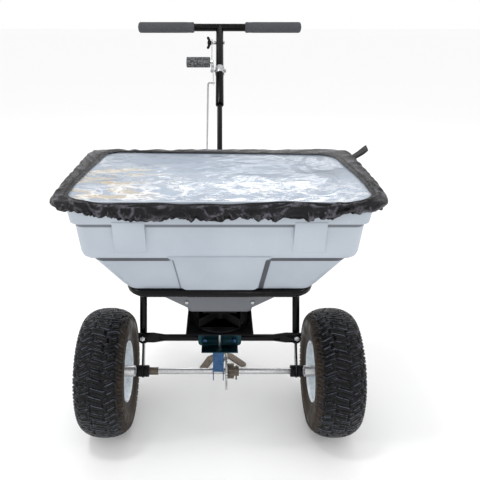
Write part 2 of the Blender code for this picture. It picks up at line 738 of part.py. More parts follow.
def build_brace(bolt_places):
    """The cross brace: a tube with both ends crushed tall and bolted to the legs' fronts."""
    flat_y = brace_flat_y()
    inner = LEG_TOP_X - 0.040
    brace = rod(
        "cross_brace", (-inner, flat_y, BRACE_HEIGHT), (inner, flat_y, BRACE_HEIGHT),
        BRACE_RADIUS, "black_gloss_paint", sides=16,
    )
    half_thick = BRACE_FLAT_THICKNESS / 2
    half_tall = BRACE_FLAT_HEIGHT / 2
    end_x = LEG_FOOT_X + 0.010
    nut_y = LEG_BOLT_Y + LEG_RADIUS * hypot(1, leg_slope()) + leg_slope() * BOLT_HEAD_RADIUS + GAP
    for middle, side in zip(bolt_places, (-1, 1)):
        outline = [
            (side * (inner - 0.030), -BRACE_RADIUS * 0.7),
            (side * (inner + 0.016), -half_tall),
            (side * end_x, -half_tall * 0.92),
            (side * end_x, half_tall * 0.92),
            (side * (inner + 0.016), half_tall),
            (side * (inner - 0.030), BRACE_RADIUS * 0.7),
        ]
        word = "left" if side < 0 else "right"
        flat = flat_plate(
            f"brace_end_{word}", [outline], 2 * half_thick, None, None,
            (0, flat_y, BRACE_HEIGHT), (pi / 2, 0, 0),
        )
        hole = rod(
            f"brace_hole_{word}", (middle.x, flat_y - 0.02, BRACE_HEIGHT),
            (middle.x, flat_y + 0.02, BRACE_HEIGHT), BOLT_RADIUS + GAP, sides=12,
        )
        join(brace, flat)
        cut(brace, hole)
        bolt(
            f"brace_bolt_{word}",
            (middle.x, flat_y - half_thick - GAP, BRACE_HEIGHT),
            (middle.x, nut_y, BRACE_HEIGHT), BOLT_RADIUS, BOLT_HEAD_RADIUS,
        )
    return brace, flat_y


def build_bushes():
    """A flanged bush in each leg's eye."""
    half = BUSH_LENGTH / 2
    lip = BLADE_THICKNESS / 2 + GAP
    profile = [
        (BUSH_FLANGE_RADIUS, half), (BUSH_FLANGE_RADIUS, lip), (BUSH_RADIUS, lip),
        (BUSH_RADIUS, -lip), (BUSH_FLANGE_RADIUS, -lip), (BUSH_FLANGE_RADIUS, -half),
        (AXLE_RADIUS + GAP, -half), (AXLE_RADIUS + GAP, half),
    ]
    for word, side in (("left", -1), ("right", 1)):
        turned(
            "axle_bush_" + word, profile, "black_plastic", None,
            (side * LEG_FOOT_X, 0, AXLE_HEIGHT), (side, 0, 0), 20,
        )


def build_hanger(brace, brace_y):
    """The folded plate on the brace's front that carries the gears, and its two bolts."""
    plate_back = brace_y - BRACE_RADIUS - GAP
    plate_y = plate_back - HANGER_SHEET / 2
    top = SHROUD_FLOOR_HEIGHT - GAP
    corner = 0.009
    wide = HANGER_HALF_WIDTH
    low = HANGER_BASE_HEIGHT
    outline = [(-wide, top), (wide, top)]
    for side in (1, -1):
        turns = [i * pi / 8 for i in range(5)]
        arc = [
            (side * (wide - corner + corner * cos(t)), low + corner - corner * sin(t))
            for t in turns
        ]
        outline += arc if side > 0 else arc[::-1]
    hanger = flat_plate(
        "gear_hanger", [outline], HANGER_SHEET, "teal_steel", None, (0, plate_y, 0), (pi / 2, 0, 0)
    )
    flange = box(
        "hanger_flange", (-wide + corner, -HANGER_FLANGE_REACH, low),
        (wide - corner, plate_y, low + HANGER_SHEET),
    )
    bore = rod(
        "hanger_bore", (0, 0, low - 0.02), (0, 0, low + 0.02), SHAFT_RADIUS + RUNNING_GAP, sides=16
    )
    join(hanger, flange)
    for word, side in (("left", -1), ("right", 1)):
        x = side * (HANGER_HALF_WIDTH - 0.018)
        hole = rod(
            f"hanger_hole_{word}", (x, plate_y - 0.02, BRACE_HEIGHT), (x, brace_y + 0.03, BRACE_HEIGHT),
            PIN_RADIUS + GAP, sides=12,
        )
        cut(hanger, hole)
        cut(brace, hole)
        bolt(
            f"hanger_bolt_{word}", (x, plate_y - HANGER_SHEET / 2 - GAP, BRACE_HEIGHT),
            (x, brace_y + BRACE_RADIUS + GAP, BRACE_HEIGHT), PIN_RADIUS, 0.0055, "blue_steel",
        )
    cut(hanger, bore)


def build_housing():
    """The blue folded box under the hanger: it holds the pinion and hangs on the axle."""
    top = HANGER_BASE_HEIGHT - GAP
    sheet = HOUSING_SHEET
    back = -HOUSING_FRONT_Y
    housing = box(
        "gear_housing", (HOUSING_LEFT, HOUSING_FRONT_Y, top - sheet), (HOUSING_RIGHT, back, top),
        "blue_steel",
    )
    foot = AXLE_HEIGHT - AXLE_RADIUS - 0.007
    web_foot = AXLE_HEIGHT + AXLE_RADIUS + 0.004
    inner_cheek_top = AXLE_HEIGHT + RING_RADIUS - PINION_WIDTH - 0.007
    web = box(
        "housing_web", (HOUSING_LEFT, HOUSING_FRONT_Y, web_foot),
        (HOUSING_RIGHT, HOUSING_FRONT_Y + sheet, top),
    )
    left = box(
        "housing_left_cheek", (HOUSING_LEFT, HOUSING_FRONT_Y, foot), (HOUSING_LEFT + sheet, back, top)
    )
    right = box(
        "housing_right_cheek", (HOUSING_RIGHT - sheet, HOUSING_FRONT_Y, foot),
        (HOUSING_RIGHT, back - 0.004, inner_cheek_top),
    )
    shaft_bore = rod(
        "housing_shaft_bore", (0, 0, top - 0.01), (0, 0, top + 0.01), SHAFT_RADIUS + RUNNING_GAP,
        sides=16,
    )
    axle_bore = rod(
        "housing_axle_bore", (HOUSING_LEFT - 0.01, 0, AXLE_HEIGHT), (HOUSING_RIGHT + 0.01, 0, AXLE_HEIGHT),
        AXLE_RADIUS + RUNNING_GAP, sides=20,
    )
    join(housing, web, left, right)
    cut(housing, shaft_bore, axle_bore)


def build_shroud():
    """The black shroud below the outlet, open to the front, that aims what the spinner throws."""
    wall = SHROUD_WALL
    top = FLOOR_HEIGHT - GAP
    low = SHROUD_FLOOR_HEIGHT
    wide_top = SHROUD_TOP_HALF_WIDTH
    wide_low = SHROUD_FOOT_HALF_WIDTH
    front, back = SHROUD_FRONT_Y, SHROUD_BACK_Y
    front_top = -FLOOR_HALF_DEPTH
    shroud = hexahedron(
        "spinner_shroud",
        [
            (-wide_low, front, low), (wide_low, front, low),
            (-wide_low, back, low), (wide_low, back, low),
            (-wide_top, front_top, top), (wide_top, front_top, top),
            (-wide_top, back, top), (wide_top, back, top),
        ],
        "black_plastic",
    )
    over = 0.02
    lean = (wide_low - wide_top) / (top - low)
    room = hexahedron(
        "shroud_room",
        [
            (-(wide_low - wall - lean * wall), front - over, low + wall),
            (wide_low - wall - lean * wall, front - over, low + wall),
            (-(wide_low - wall - lean * wall), back - wall, low + wall),
            (wide_low - wall - lean * wall, back - wall, low + wall),
            (-(wide_top - wall - lean * over), front - over, top + over),
            (wide_top - wall - lean * over, front - over, top + over),
            (-(wide_top - wall - lean * over), back - wall, top + over),
            (wide_top - wall - lean * over, back - wall, top + over),
        ],
    )
    tail_gap = box(
        "shroud_tail_gap", (-wide_top - over, FLOOR_HALF_DEPTH + 0.003, SHUTTER_HEIGHT - 0.0045),
        (wide_top + over, back + over, top + over),
    )
    bore = rod("shroud_bore", (0, 0, low - 0.01), (0, 0, low + 0.01), SHAFT_RADIUS + RUNNING_GAP, sides=16)
    cut(shroud, room, tail_gap, bore)


def build_rear_bracket(handle):
    """The folded bracket on the loop's rear bar that holds the handle, the stand and the crank."""
    front = LOOP_HALF_DEPTH + LOOP_RADIUS + GAP
    cheek_x = STAND_RADIUS + 0.0035
    sheet = 0.003
    outline = [
        (front, LOOP_HEIGHT + 0.009), (front + 0.030, LOOP_HEIGHT + 0.034),
        (front + 0.052, LOOP_HEIGHT + 0.022), (front + 0.046, LOOP_HEIGHT - 0.030),
        (front + 0.040, LOOP_HEIGHT - 0.046), (front, LOOP_HEIGHT - 0.040),
    ]
    bracket = box(
        "rear_bracket", (-cheek_x - sheet / 2, front + 0.001, LOOP_HEIGHT - 0.038),
        (cheek_x + sheet / 2, front + 0.001 + sheet, LOOP_HEIGHT + 0.006), "black_gloss_paint",
    )
    for word, side in (("left", -1), ("right", 1)):
        cheek = side_plate(f"bracket_cheek_{word}", [outline], side * (cheek_x + sheet / 2), sheet)
        join(bracket, cheek)
    pivot = crank_pivot()
    pin = rod(
        "crank_pin", (-cheek_x - sheet / 2, pivot.y, pivot.z),
        (CRANK_X - CRANK_SHEET / 2 - 0.002, pivot.y, pivot.z), PIN_RADIUS, sides=12,
    )
    join(bracket, pin)
    bolt_drop = HANDLE_LENGTH - 0.030
    hole = rod(
        "handle_bolt_hole", (-0.04, 0, -bolt_drop), (0.04, 0, -bolt_drop), BOLT_RADIUS + GAP,
        None, handle, 12,
    )
    cut(bracket, hole)
    reach = cheek_x + sheet + GAP
    bolt(
        "handle_bolt", (reach, 0, -bolt_drop), (-reach, 0, -bolt_drop), BOLT_RADIUS,
        BOLT_HEAD_RADIUS, parent=handle,
    )
    return hole


def build_stand():
    """The rear stand: a leg from the bracket to the ground, its two-armed foot, and a stay."""
    leg = rod("stand_leg", STAND_TOP, STAND_FOOT, STAND_RADIUS, "black_gloss_paint", sides=16)
    trim = box(
        "stand_leg_trim", (-0.05, STAND_FOOT.y - 0.05, FOOT_SHEET + GAP - 0.04),
        (0.05, STAND_FOOT.y + 0.05, FOOT_SHEET + GAP),
    )
    cut(leg, trim)
    heel = (0.0, STAND_FOOT.y + 0.012)
    arms = strap(
        [(-0.052, STAND_FOOT.y - 0.062), (-0.030, STAND_FOOT.y - 0.010), heel,
         (0.034, STAND_FOOT.y + 0.004), (0.072, STAND_FOOT.y - 0.040)],
        FOOT_WIDTH / 2,
    )
    flat_plate("stand_foot", [arms], FOOT_SHEET, "worn_steel", None, (0, 0, FOOT_SHEET / 2))
    along = (STAND_FOOT - STAND_TOP).normalized()
    meet = STAND_TOP + along * ((STAND_TOP.z - 0.216) / -along.z)
    start_y = brace_flat_y() + BRACE_RADIUS
    end_y = meet.y - STAND_RADIUS / abs(along.z) - 2 * GAP
    end_lean = along.y / along.z * 0.014
    sheet = 0.003
    outline = [
        (start_y + GAP, BRACE_HEIGHT - 0.012), (start_y + GAP + sheet, BRACE_HEIGHT - 0.006),
        (end_y, meet.z), (end_y + end_lean, meet.z + 0.014), (start_y + 0.012, BRACE_HEIGHT + 0.006),
        (start_y + GAP + sheet, BRACE_HEIGHT + 0.012), (start_y + GAP, BRACE_HEIGHT + 0.012),
    ]
    side_plate("stand_stay", [outline], 0, 0.018, "black_gloss_paint")


# ---------------------------------------------------------------- wheels, axle and gears
def tyre_profile():
    """The tyre's section as a closed loop of (radius, width) points."""
    half = TYRE_WIDTH / 2
    crown = 0.047
    middle = TYRE_RADIUS - crown
    bead_x = RIM_WIDTH / 2 - 0.0075
    bead_r = RIM_SEAT_RADIUS + 0.0007
    power = 2 / 2.5

    def skin(half_width, height, foot_x, foot_r, count):
        """One skin of the tyre, from its bead at -width over the crown to the other bead."""
        line = [(bead_r, -foot_x)]
        side = []
        for i in range(count):
            t = pi / 2 * (1 - i / count)
            x = foot_x + (half_width - foot_x) * cos(t)
            side.append((middle - (middle - foot_r) * sin(t), x))
        line += [(r, -x) for r, x in side]
        for i in range(2 * count + 1):
            t = pi * i / (2 * count)
            x = -half_width * (1 if cos(t) > 0 else -1) * abs(cos(t)) ** power
            line.append((middle + height * sin(t) ** power, x))
        line += [(r, x) for r, x in reversed(side)]
        line.append((bead_r, foot_x))
        return line

    outer = skin(half, crown, bead_x, RIM_RADIUS + 0.004, 3)
    inner = skin(half - TYRE_WALL, crown - TYRE_WALL - 0.003, bead_x - 0.009, RIM_RADIUS + 0.006, 2)
    return outer + inner[::-1]


def rim_profile():
    """The rim's section: flanges, seats and well, with a dished web down to the hub."""
    half = RIM_WIDTH / 2
    sheet = RIM_SHEET
    seat, well, flange = RIM_SEAT_RADIUS, RIM_WELL_RADIUS, RIM_RADIUS
    outer = [
        (flange, -half), (flange, -half + sheet), (seat, -half + sheet + 0.002),
        (seat - 0.001, -0.030), (well, -0.021), (well, 0.021), (seat - 0.001, 0.030),
        (seat, half - sheet - 0.002), (flange, half - sheet), (flange, half),
    ]
    inner = [
        (flange - sheet, half), (seat - sheet, half - 0.005), (seat - sheet - 0.001, 0.032),
        (well - sheet, 0.023), (well - sheet, 0.019),
        (0.030, 0.030), (HUB_RADIUS + GAP, 0.030), (HUB_RADIUS + GAP, 0.027),
        (0.030, 0.027), (well - sheet, 0.0155),
        (well - sheet, -0.023), (seat - sheet - 0.001, -0.032), (seat - sheet, -half + 0.005),
        (flange - sheet, -half),
    ]
    return outer + inner


def build_wheel(word, side, parent):
    """One wheel: tyre, dished rim, hub tube and valve stem; the web is dished toward the frame."""
    inboard = (-side, 0, 0)
    turned("tyre_" + word, tyre_profile()[::-1], "tyre_rubber", parent, (0, 0, 0), inboard, 32)
    turned("rim_" + word, rim_profile()[::-1], "white_paint", parent, (0, 0, 0), inboard, 24)
    half = HUB_LENGTH / 2
    hub = tube(
        "wheel_hub_" + word, (-half, 0, 0), (half, 0, 0), HUB_RADIUS, AXLE_RADIUS + GAP, "zinc", parent
    )
    root = RIM_WELL_RADIUS - RIM_SHEET
    turned(
        "valve_" + word,
        [(0, 0.026), (0.0032, 0.0255), (0.0036, 0.014), (0.0050, 0.010), (0.0058, 0), (0, 0)],
        "black_plastic", parent, (side * 0.002, 0, root - 2 * GAP - 0.0058), (side, 0, -0.08), 12,
        ring=False,
    )
    return hub


def build_axle(drive):
    """The axle with what turns on it: sleeve, ring gear, collar, drive pin, washer and cotter."""
    end = AXLE_HALF_LENGTH
    axle = rod("axle", (-end, 0, 0), (end, 0, 0), AXLE_RADIUS, "zinc", drive, 20)
    sleeve_end = LEG_FOOT_X - BUSH_LENGTH / 2 - RUNNING_GAP
    tube(
        "axle_sleeve", (-sleeve_end, 0, 0), (-sleeve_end + 0.024, 0, 0), AXLE_RADIUS + 0.0018,
        AXLE_RADIUS + GAP, "worn_steel", drive, 20,
    )
    gear_middle = RING_FACE_X + RING_THICKNESS / 2
    axle_bore = circle((0, 0), AXLE_RADIUS + GAP)
    side_plate(
        "ring_gear",
        [gear_outline(RING_TEETH, RING_RADIUS, RING_RADIUS - TOOTH_HEIGHT), axle_bore],
        gear_middle, RING_THICKNESS, "zinc", drive,
    )
    collar_start = RING_FACE_X + RING_THICKNESS + GAP
    toothed = 0.017
    collar = side_plate(
        "gear_collar",
        [gear_outline(12, COLLAR_RADIUS, COLLAR_RADIUS - 0.003), axle_bore],
        collar_start + toothed / 2, toothed, "worn_steel", drive,
    )
    neck = tube(
        "collar_neck", (collar_start + toothed / 2, 0, 0), (collar_start + COLLAR_LENGTH, 0, 0),
        0.0125, AXLE_RADIUS + GAP, None, drive, 20,
    )
    join(collar, neck)
    pin_x = collar_start + toothed + 0.0065
    pin_low = (pin_x, 0, -0.027)
    pin_high = (pin_x, 0, 0.017)
    collar_hole = rod("collar_pin_hole", pin_low, pin_high, 0.0020 + GAP, None, drive, 12)
    rod("collar_pin", pin_low, pin_high, 0.0020, "worn_steel", drive, 12)
    cut(collar, collar_hole)
    cut(axle, collar_hole)
    drive_x = -WHEEL_X - HUB_LENGTH / 2 + 0.012
    drive_hole = rod(
        "drive_pin_hole", (drive_x, 0, -0.03), (drive_x, 0, 0.03), PIN_RADIUS + GAP, None, drive, 12
    )
    bolt(
        "drive_pin", (drive_x, 0, HUB_RADIUS + GAP), (drive_x, 0, -HUB_RADIUS - 0.004), PIN_RADIUS,
        0.005, parent=drive, nut=False,
    )
    cut(axle, drive_hole)
    washer_x = WHEEL_X + HUB_LENGTH / 2 + RUNNING_GAP
    tube(
        "axle_washer", (washer_x, 0, 0), (washer_x + 0.0025, 0, 0), 0.014, AXLE_RADIUS + GAP, "zinc",
        drive, 20,
    )
    cotter_x = washer_x + 0.0055
    cotter_hole = rod(
        "cotter_hole", (cotter_x, 0, -0.02), (cotter_x, 0, 0.02), 0.0016 + GAP, None, drive, 10
    )
    rod("axle_cotter", (cotter_x, 0, -0.016), (cotter_x, 0, 0.016), 0.0016, "zinc", drive, 10)
    cut(axle, cotter_hole)
    return drive_hole


def build_spinner(spin):
    """The upright shaft with its pinion, the finned spinner disc and the agitator."""
    low = AXLE_HEIGHT + AXLE_RADIUS + 0.012
    high = FLOOR_HEIGHT + 0.062
    shaft = rod("spinner_shaft", (0, 0, low), (0, 0, high), SHAFT_RADIUS, "zinc", spin, 16)
    flat_plate(
        "pinion_gear",
        [
            gear_outline(PINION_TEETH, PINION_RADIUS, PINION_RADIUS - 0.0032),
            circle((0, 0), SHAFT_RADIUS + GAP, 12),
        ],
        PINION_WIDTH, "worn_steel", spin, (0, 0, PINION_HEIGHT),
    )
    disc_top = SPINNER_HEIGHT + SPINNER_DISC
    hub = 0.013
    bore = SHAFT_RADIUS + GAP
    disc = turned(
        "spinner_disc",
        [(hub, disc_top + FIN_HEIGHT + 0.003), (hub, disc_top), (SPINNER_RADIUS, disc_top),
         (SPINNER_RADIUS, SPINNER_HEIGHT), (bore, SPINNER_HEIGHT), (bore, disc_top + FIN_HEIGHT + 0.003)],
        "black_plastic", spin, steps=32,
    )
    for i in range(FIN_COUNT):
        fin = box(
            f"fin_{i}", (-0.0012, hub - 0.002, disc_top - 0.001),
            (0.0012, SPINNER_RADIUS - 0.001, disc_top + FIN_HEIGHT),
        )
        middle = (hub + SPINNER_RADIUS - 0.003) / 2
        turn = 2 * pi * i / FIN_COUNT + pi / FIN_COUNT
        fin.location = (-sin(turn) * middle, cos(turn) * middle, disc_top + FIN_HEIGHT / 2)
        fin.rotation_euler = (0, 0, turn)
        join(disc, fin)
    arm_height = high - 0.012
    arm_hole = rod(
        "agitator_hole", (-0.03, 0, arm_height), (0.03, 0, arm_height), 0.0020 + GAP, None, spin, 10
    )
    cut(shaft, arm_hole)
    bent_bar(
        "agitator",
        [(-0.046, 0, arm_height - 0.028), (-0.038, 0, arm_height - 0.006), (-0.031, 0, arm_height),
         (0.031, 0, arm_height), (0.038, 0, arm_height - 0.006), (0.046, 0, arm_height - 0.028)],
        0.0020, "zinc", spin,
    )


# ---------------------------------------------------------------- handle and control
def crank_pivot():
    """The crank's pivot: its upper arm meets the rod square to it half way through the travel."""
    rod_end_y = CRANK_Y + CRANK_ARM * sin(HANDLE_SLOPE)
    post_height = HANDLE_TOP.z - (HANDLE_TOP.y - rod_end_y) * sin(HANDLE_SLOPE) / cos(HANDLE_SLOPE)
    rod_end_height = post_height - ROD_ARM / cos(HANDLE_SLOPE)
    return Vector((CRANK_X, CRANK_Y, rod_end_height + CRANK_ARM * cos(HANDLE_SLOPE)))


def build_handle(handle, bolt_hole):
    """The T bar, the post, the narrower lower tube that slides into it, and two foam grips."""
    inner = HANDLE_TUBE_RADIUS - HANDLE_TUBE_WALL
    tube(
        "t_bar", (-T_BAR_HALF_LENGTH, 0, 0), (T_BAR_HALF_LENGTH, 0, 0), HANDLE_TUBE_RADIUS, inner,
        "black_gloss_paint", handle,
    )
    post = tube(
        "handle_post", (0, 0, -POST_LENGTH), (0, 0, 0), HANDLE_TUBE_RADIUS, LOWER_TUBE_RADIUS + GAP,
        "black_gloss_paint", handle,
    )
    saddle = rod(
        "post_saddle", (-0.05, 0, 0), (0.05, 0, 0), HANDLE_TUBE_RADIUS + GAP, None, handle, 40
    )
    cut(post, saddle)
    lower = rod(
        "handle_lower_tube", (0, 0, -HANDLE_LENGTH + 0.012), (0, 0, -POST_LENGTH + SLEEVE_OVERLAP),
        LOWER_TUBE_RADIUS, "black_gloss_paint", handle, 16,
    )
    cut(lower, bolt_hole)
    for word, side in (("left", -1), ("right", 1)):
        profile = [
            (GRIP_RADIUS - 0.003, GRIP_OUTER_X), (GRIP_RADIUS, GRIP_OUTER_X - 0.003),
            (GRIP_RADIUS, GRIP_INNER_X + 0.002), (GRIP_RADIUS - 0.002, GRIP_INNER_X),
            (HANDLE_TUBE_RADIUS + GAP, GRIP_INNER_X),
            (HANDLE_TUBE_RADIUS + GAP, T_BAR_HALF_LENGTH + GAP),
            (0, T_BAR_HALF_LENGTH + GAP), (0, GRIP_OUTER_X),
        ]
        closed = profile[-1:] + profile[:-1]
        turned("grip_" + word, closed, "foam", handle, (0, 0, 0), (side, 0, 0), 24, ring=False)
    return post


def build_clamp(handle, post):
    """The zinc band on the post with its pivot bolt, and the stop bolt higher up with its spacer."""
    band_radius = HANDLE_TUBE_RADIUS + 0.0028
    band = tube(
        "lever_clamp", (0, 0, -PIVOT_DROP - 0.015), (0, 0, -PIVOT_DROP + 0.013), band_radius,
        HANDLE_TUBE_RADIUS + GAP, "zinc", handle, 24,
    )
    pivot_hole = rod(
        "pivot_hole", (-0.04, 0, -PIVOT_DROP), (0.04, 0, -PIVOT_DROP), BOLT_RADIUS + GAP, None, handle, 12
    )
    stop_hole = rod(
        "stop_hole", (-0.04, 0, -STOP_DROP), (0.04, 0, -STOP_DROP), STOP_RADIUS + GAP, None, handle, 12
    )
    cut(band, pivot_hole)
    cut(post, pivot_hole, stop_hole)
    nut_x = LEVER_X - LEVER_SHEET / 2 - RUNNING_GAP
    bolt(
        "lever_bolt", (band_radius + GAP, 0, -PIVOT_DROP), (nut_x, 0, -PIVOT_DROP), BOLT_RADIUS, 0.0065,
        parent=handle,
    )
    stop = rod(
        "stop_bolt", (HANDLE_TUBE_RADIUS + 0.003, 0, -STOP_DROP), (LINK_X - 0.017, 0, -STOP_DROP),
        STOP_RADIUS, "zinc", handle, 12,
    )
    head = rod(
        "stop_head", (HANDLE_TUBE_RADIUS + GAP, 0, -STOP_DROP),
        (HANDLE_TUBE_RADIUS + GAP + 0.004, 0, -STOP_DROP), 0.0058, None, handle, 6,
    )
    spacer_end = LINK_X + LINK_SHEET / 2 + RUNNING_GAP
    spacer = rod(
        "stop_spacer", (-HANDLE_TUBE_RADIUS - GAP, 0, -STOP_DROP), (spacer_end, 0, -STOP_DROP), 0.006,
        None, handle, 12,
    )
    join(stop, head, spacer)


def build_wing_nut(nut):
    """The black wing nut on the stop bolt; its axis runs along X."""
    start_x = -LINK_SHEET / 2 - RUNNING_GAP
    hub = tube(
        "wing_nut", (start_x - 0.013, 0, 0), (start_x, 0, 0), 0.0065, STOP_RADIUS + GAP,
        "black_plastic", nut, 16,
    )
    for word, side in (("upper", 1), ("lower", -1)):
        wing = strap([(start_x - 0.007, side * 0.0080), (start_x - 0.0115, side * 0.0175)], 0.0042, 5)
        blade = flat_plate(f"wing_{word}", [wing], 0.0032, None, nut, (0, 0, 0), (pi / 2, 0, 0))
        join(hub, blade)


def build_lever(swing):
    """The flat lever, with a tang that its grip block is pushed on."""
    sheet = LEVER_SHEET
    outline = strap([(-GRIP_ARM, 0), (-0.012, -0.003), (0.020, -0.003), (ROD_ARM, 0)], 0.0085)
    pivot = circle((0, 0), BOLT_RADIUS + GAP)
    link_hole = circle((-LINK_ARM, 0), PIN_RADIUS + GAP, 12)
    rod_slot = pin_slot(ROD_ARM, LEVER_TRAVEL)
    holes = [pivot, link_hole, rod_slot]
    lever = side_plate("control_lever", [outline, *holes], LEVER_X, sheet, "zinc", swing)
    block_x = LEVER_X - sheet / 2 - 0.007
    tang_end = block_x - GRIP_BLOCK.x + 0.008
    tang = box(
        "lever_tang", (tang_end, -GRIP_ARM - 0.006, -0.002), (LEVER_X, -GRIP_ARM + 0.006, 0.002),
        None, swing,
    )
    join(lever, tang)
    half_y, half_z = GRIP_BLOCK.y / 2, GRIP_BLOCK.z / 2
    block = box(
        "lever_grip", (block_x - GRIP_BLOCK.x, -GRIP_ARM - half_y, -half_z),
        (block_x, -GRIP_ARM + half_y, half_z), "foam", swing, 0.003,
    )
    pocket = box(
        "grip_pocket", (tang_end - GAP, -GRIP_ARM - 0.006 - GAP, -0.002 - GAP),
        (block_x + 0.01, -GRIP_ARM + 0.006 + GAP, 0.002 + GAP), None, swing,
    )
    cut(block, pocket)


def pin_slot(arm, travel):
    """The slot in an arm that lets a rod's end run straight while the arm swings."""
    furthest = hypot(arm, arm * travel / 2)
    return strap([(arm - RUNNING_GAP, 0), (furthest + RUNNING_GAP, 0)], ROD_RADIUS + RUNNING_GAP, 5)


def link_pose(tilt):
    """Where the link's pin is in the handle's (y, z), and the way from it to the stop bolt."""
    pin_y = -LINK_ARM * cos(tilt)
    pin_z = -PIVOT_DROP - LINK_ARM * sin(tilt)
    return pin_y, pin_z, atan2(-STOP_DROP - pin_z, -pin_y)


def link_reach(tilt):
    """The distance from the link's pin to the stop bolt."""
    pin_y, pin_z, _ = link_pose(tilt)
    return hypot(pin_y, -STOP_DROP - pin_z)


def build_link(swing):
    """The slotted link: pinned to the lever, it slides under the wing nut and locks the setting."""
    shortest = link_reach(-LEVER_TRAVEL / 2)
    longest = link_reach(LEVER_TRAVEL / 2)
    slot = strap([(shortest - 0.002, 0), (longest + 0.002, 0)], LINK_SLOT_HALF_WIDTH, 6)
    body = strap([(0, 0), (longest + 0.004, 0)], 0.0095)
    link = side_plate("slotted_link", [body, slot], 0, LINK_SHEET, "zinc", swing)
    root = -LINK_SHEET / 2 + 0.0005
    pin = rod(
        "link_pin", (root, 0, 0), (LEVER_X - LINK_X + 0.0035, 0, 0), PIN_RADIUS, None, swing, 12
    )
    join(link, pin)


def build_rod(handle):
    """The control rod: its bent ends hook into the lever and the crank."""
    pivot = crank_pivot() - HANDLE_TOP
    down = HANDLE_RUN.normalized()
    low_z = -pivot.dot(down)
    top_z = -PIVOT_DROP
    rest = ROD_TRAVEL / 2
    bend = 0.006
    top_in = LEVER_X + LEVER_SHEET / 2 + 0.003
    low_in = CRANK_X + CRANK_SHEET / 2 + 0.003
    points = [
        (top_in, ROD_ARM, top_z + rest), (ROD_X + bend, ROD_ARM, top_z + rest),
        (ROD_X + bend * 0.3, ROD_ARM, top_z + rest - bend * 0.3), (ROD_X, ROD_ARM, top_z + rest - bend),
        (ROD_X, ROD_ARM, low_z + rest + bend), (ROD_X + bend * 0.3, ROD_ARM, low_z + rest + bend * 0.3),
        (ROD_X + bend, ROD_ARM, low_z + rest), (low_in, ROD_ARM, low_z + rest),
    ]
    bent_bar("control_rod", points, ROD_RADIUS, "zinc", handle)


def build_crank(crank):
    """The crank under the hopper's back: the rod pushes one arm and the other moves the shutter."""
    reach = crank_pivot().z - SHUTTER_HEIGHT
    foot = Vector((sin(pi / 2 - HANDLE_SLOPE), -cos(pi / 2 - HANDLE_SLOPE))) * (reach + 0.012)
    outline = strap([(CRANK_ARM + 0.002, 0), (0, 0), tuple(foot)], CRANK_HALF_WIDTH)
    pivot = circle((0, 0), PIN_RADIUS + GAP, 12)
    slot = pin_slot(CRANK_ARM, CRANK_TRAVEL)
    side_plate("shutter_crank", [outline, pivot, slot], 0, CRANK_SHEET, "zinc", crank)


def build_shutter(slide):
    """The shutter plate: its window comes under the outlet when the shutter moves forward."""
    wide = SHUTTER_HALF_WIDTH
    travel = CRANK_TRAVEL * (crank_pivot().z - SHUTTER_HEIGHT)
    tail_left = CRANK_X - 0.010
    tail_right = CRANK_X + 0.010
    mouth_y = CRANK_Y + travel / 2
    front = OUTLET_MIDDLE_Y - OUTLET_LENGTH / 2 - 0.007
    outline = [
        (-wide, front), (wide, front), (wide, 0.058), (tail_right, 0.058),
        (tail_right, mouth_y + 0.016), (tail_left, mouth_y + 0.016), (tail_left, 0.046), (-wide, 0.046),
    ]
    window_low = OUTLET_MIDDLE_Y - OUTLET_LENGTH / 2 + travel
    window_high = window_low + OUTLET_LENGTH
    half_slot = SHAFT_RADIUS + 0.002
    slot_end = travel + SHAFT_RADIUS + 0.002
    window = [
        (-OUTLET_HALF_WIDTH, window_low), (OUTLET_HALF_WIDTH, window_low),
        (OUTLET_HALF_WIDTH, window_high), (half_slot, window_high), (half_slot, slot_end),
        (-half_slot, slot_end), (-half_slot, window_high), (-OUTLET_HALF_WIDTH, window_high),
    ]
    half_gap = CRANK_HALF_WIDTH / cos(CRANK_TRAVEL / 2) + 0.0012
    mouth = [
        (CRANK_X - CRANK_SHEET / 2 - 0.001, mouth_y - half_gap),
        (CRANK_X + CRANK_SHEET / 2 + 0.001, mouth_y - half_gap),
        (CRANK_X + CRANK_SHEET / 2 + 0.001, mouth_y + half_gap),
        (CRANK_X - CRANK_SHEET / 2 - 0.001, mouth_y + half_gap),
    ]
    flat_plate("shutter_plate", [outline, window, mouth], SHUTTER_SHEET, "zinc", slide)


def build_guide():
    """The U-shaped guide under the hopper floor that carries the shutter."""
    inner = SHUTTER_HALF_WIDTH + RUNNING_GAP
    outer = inner + 0.006
    front = -FLOOR_HALF_DEPTH + 0.002
    back = 0.012
    top = FLOOR_HEIGHT - GAP
    plate_low = SHUTTER_HEIGHT - SHUTTER_SHEET / 2 - RUNNING_GAP
    low = plate_low - 0.002
    guide = box("shutter_guide", (-outer, front, low), (outer, front + 0.004, plate_low), "black_plastic")
    for word, side in (("left", -1), ("right", 1)):
        near, far = sorted((side * inner, side * outer))
        rail = box("guide_rail_" + word, (near, front, low), (far, back, top))
        near, far = sorted((side * (inner - 0.005), side * outer))
        lip = box("guide_lip_" + word, (near, front, low), (far, back, plate_low))
        join(guide, rail, lip)


# ---------------------------------------------------------------- assembly
def build_wheels_and_drive():
    """The driven wheel and the axle turn together; the other wheel turns freely on the axle."""
    drive = joint_empty("axle_line", (0, 0, AXLE_HEIGHT))
    left = joint_empty("left_wheel_line", (-WHEEL_X, 0, 0), drive)
    right = joint_empty("right_wheel_line", (WHEEL_X, 0, AXLE_HEIGHT))
    hub = build_wheel("left", -1, left)
    build_wheel("right", 1, right)
    drive_hole = build_axle(drive)
    cut(hub, drive_hole)
    build_spinner(joint_empty("spinner_line", (0, 0, 0)))


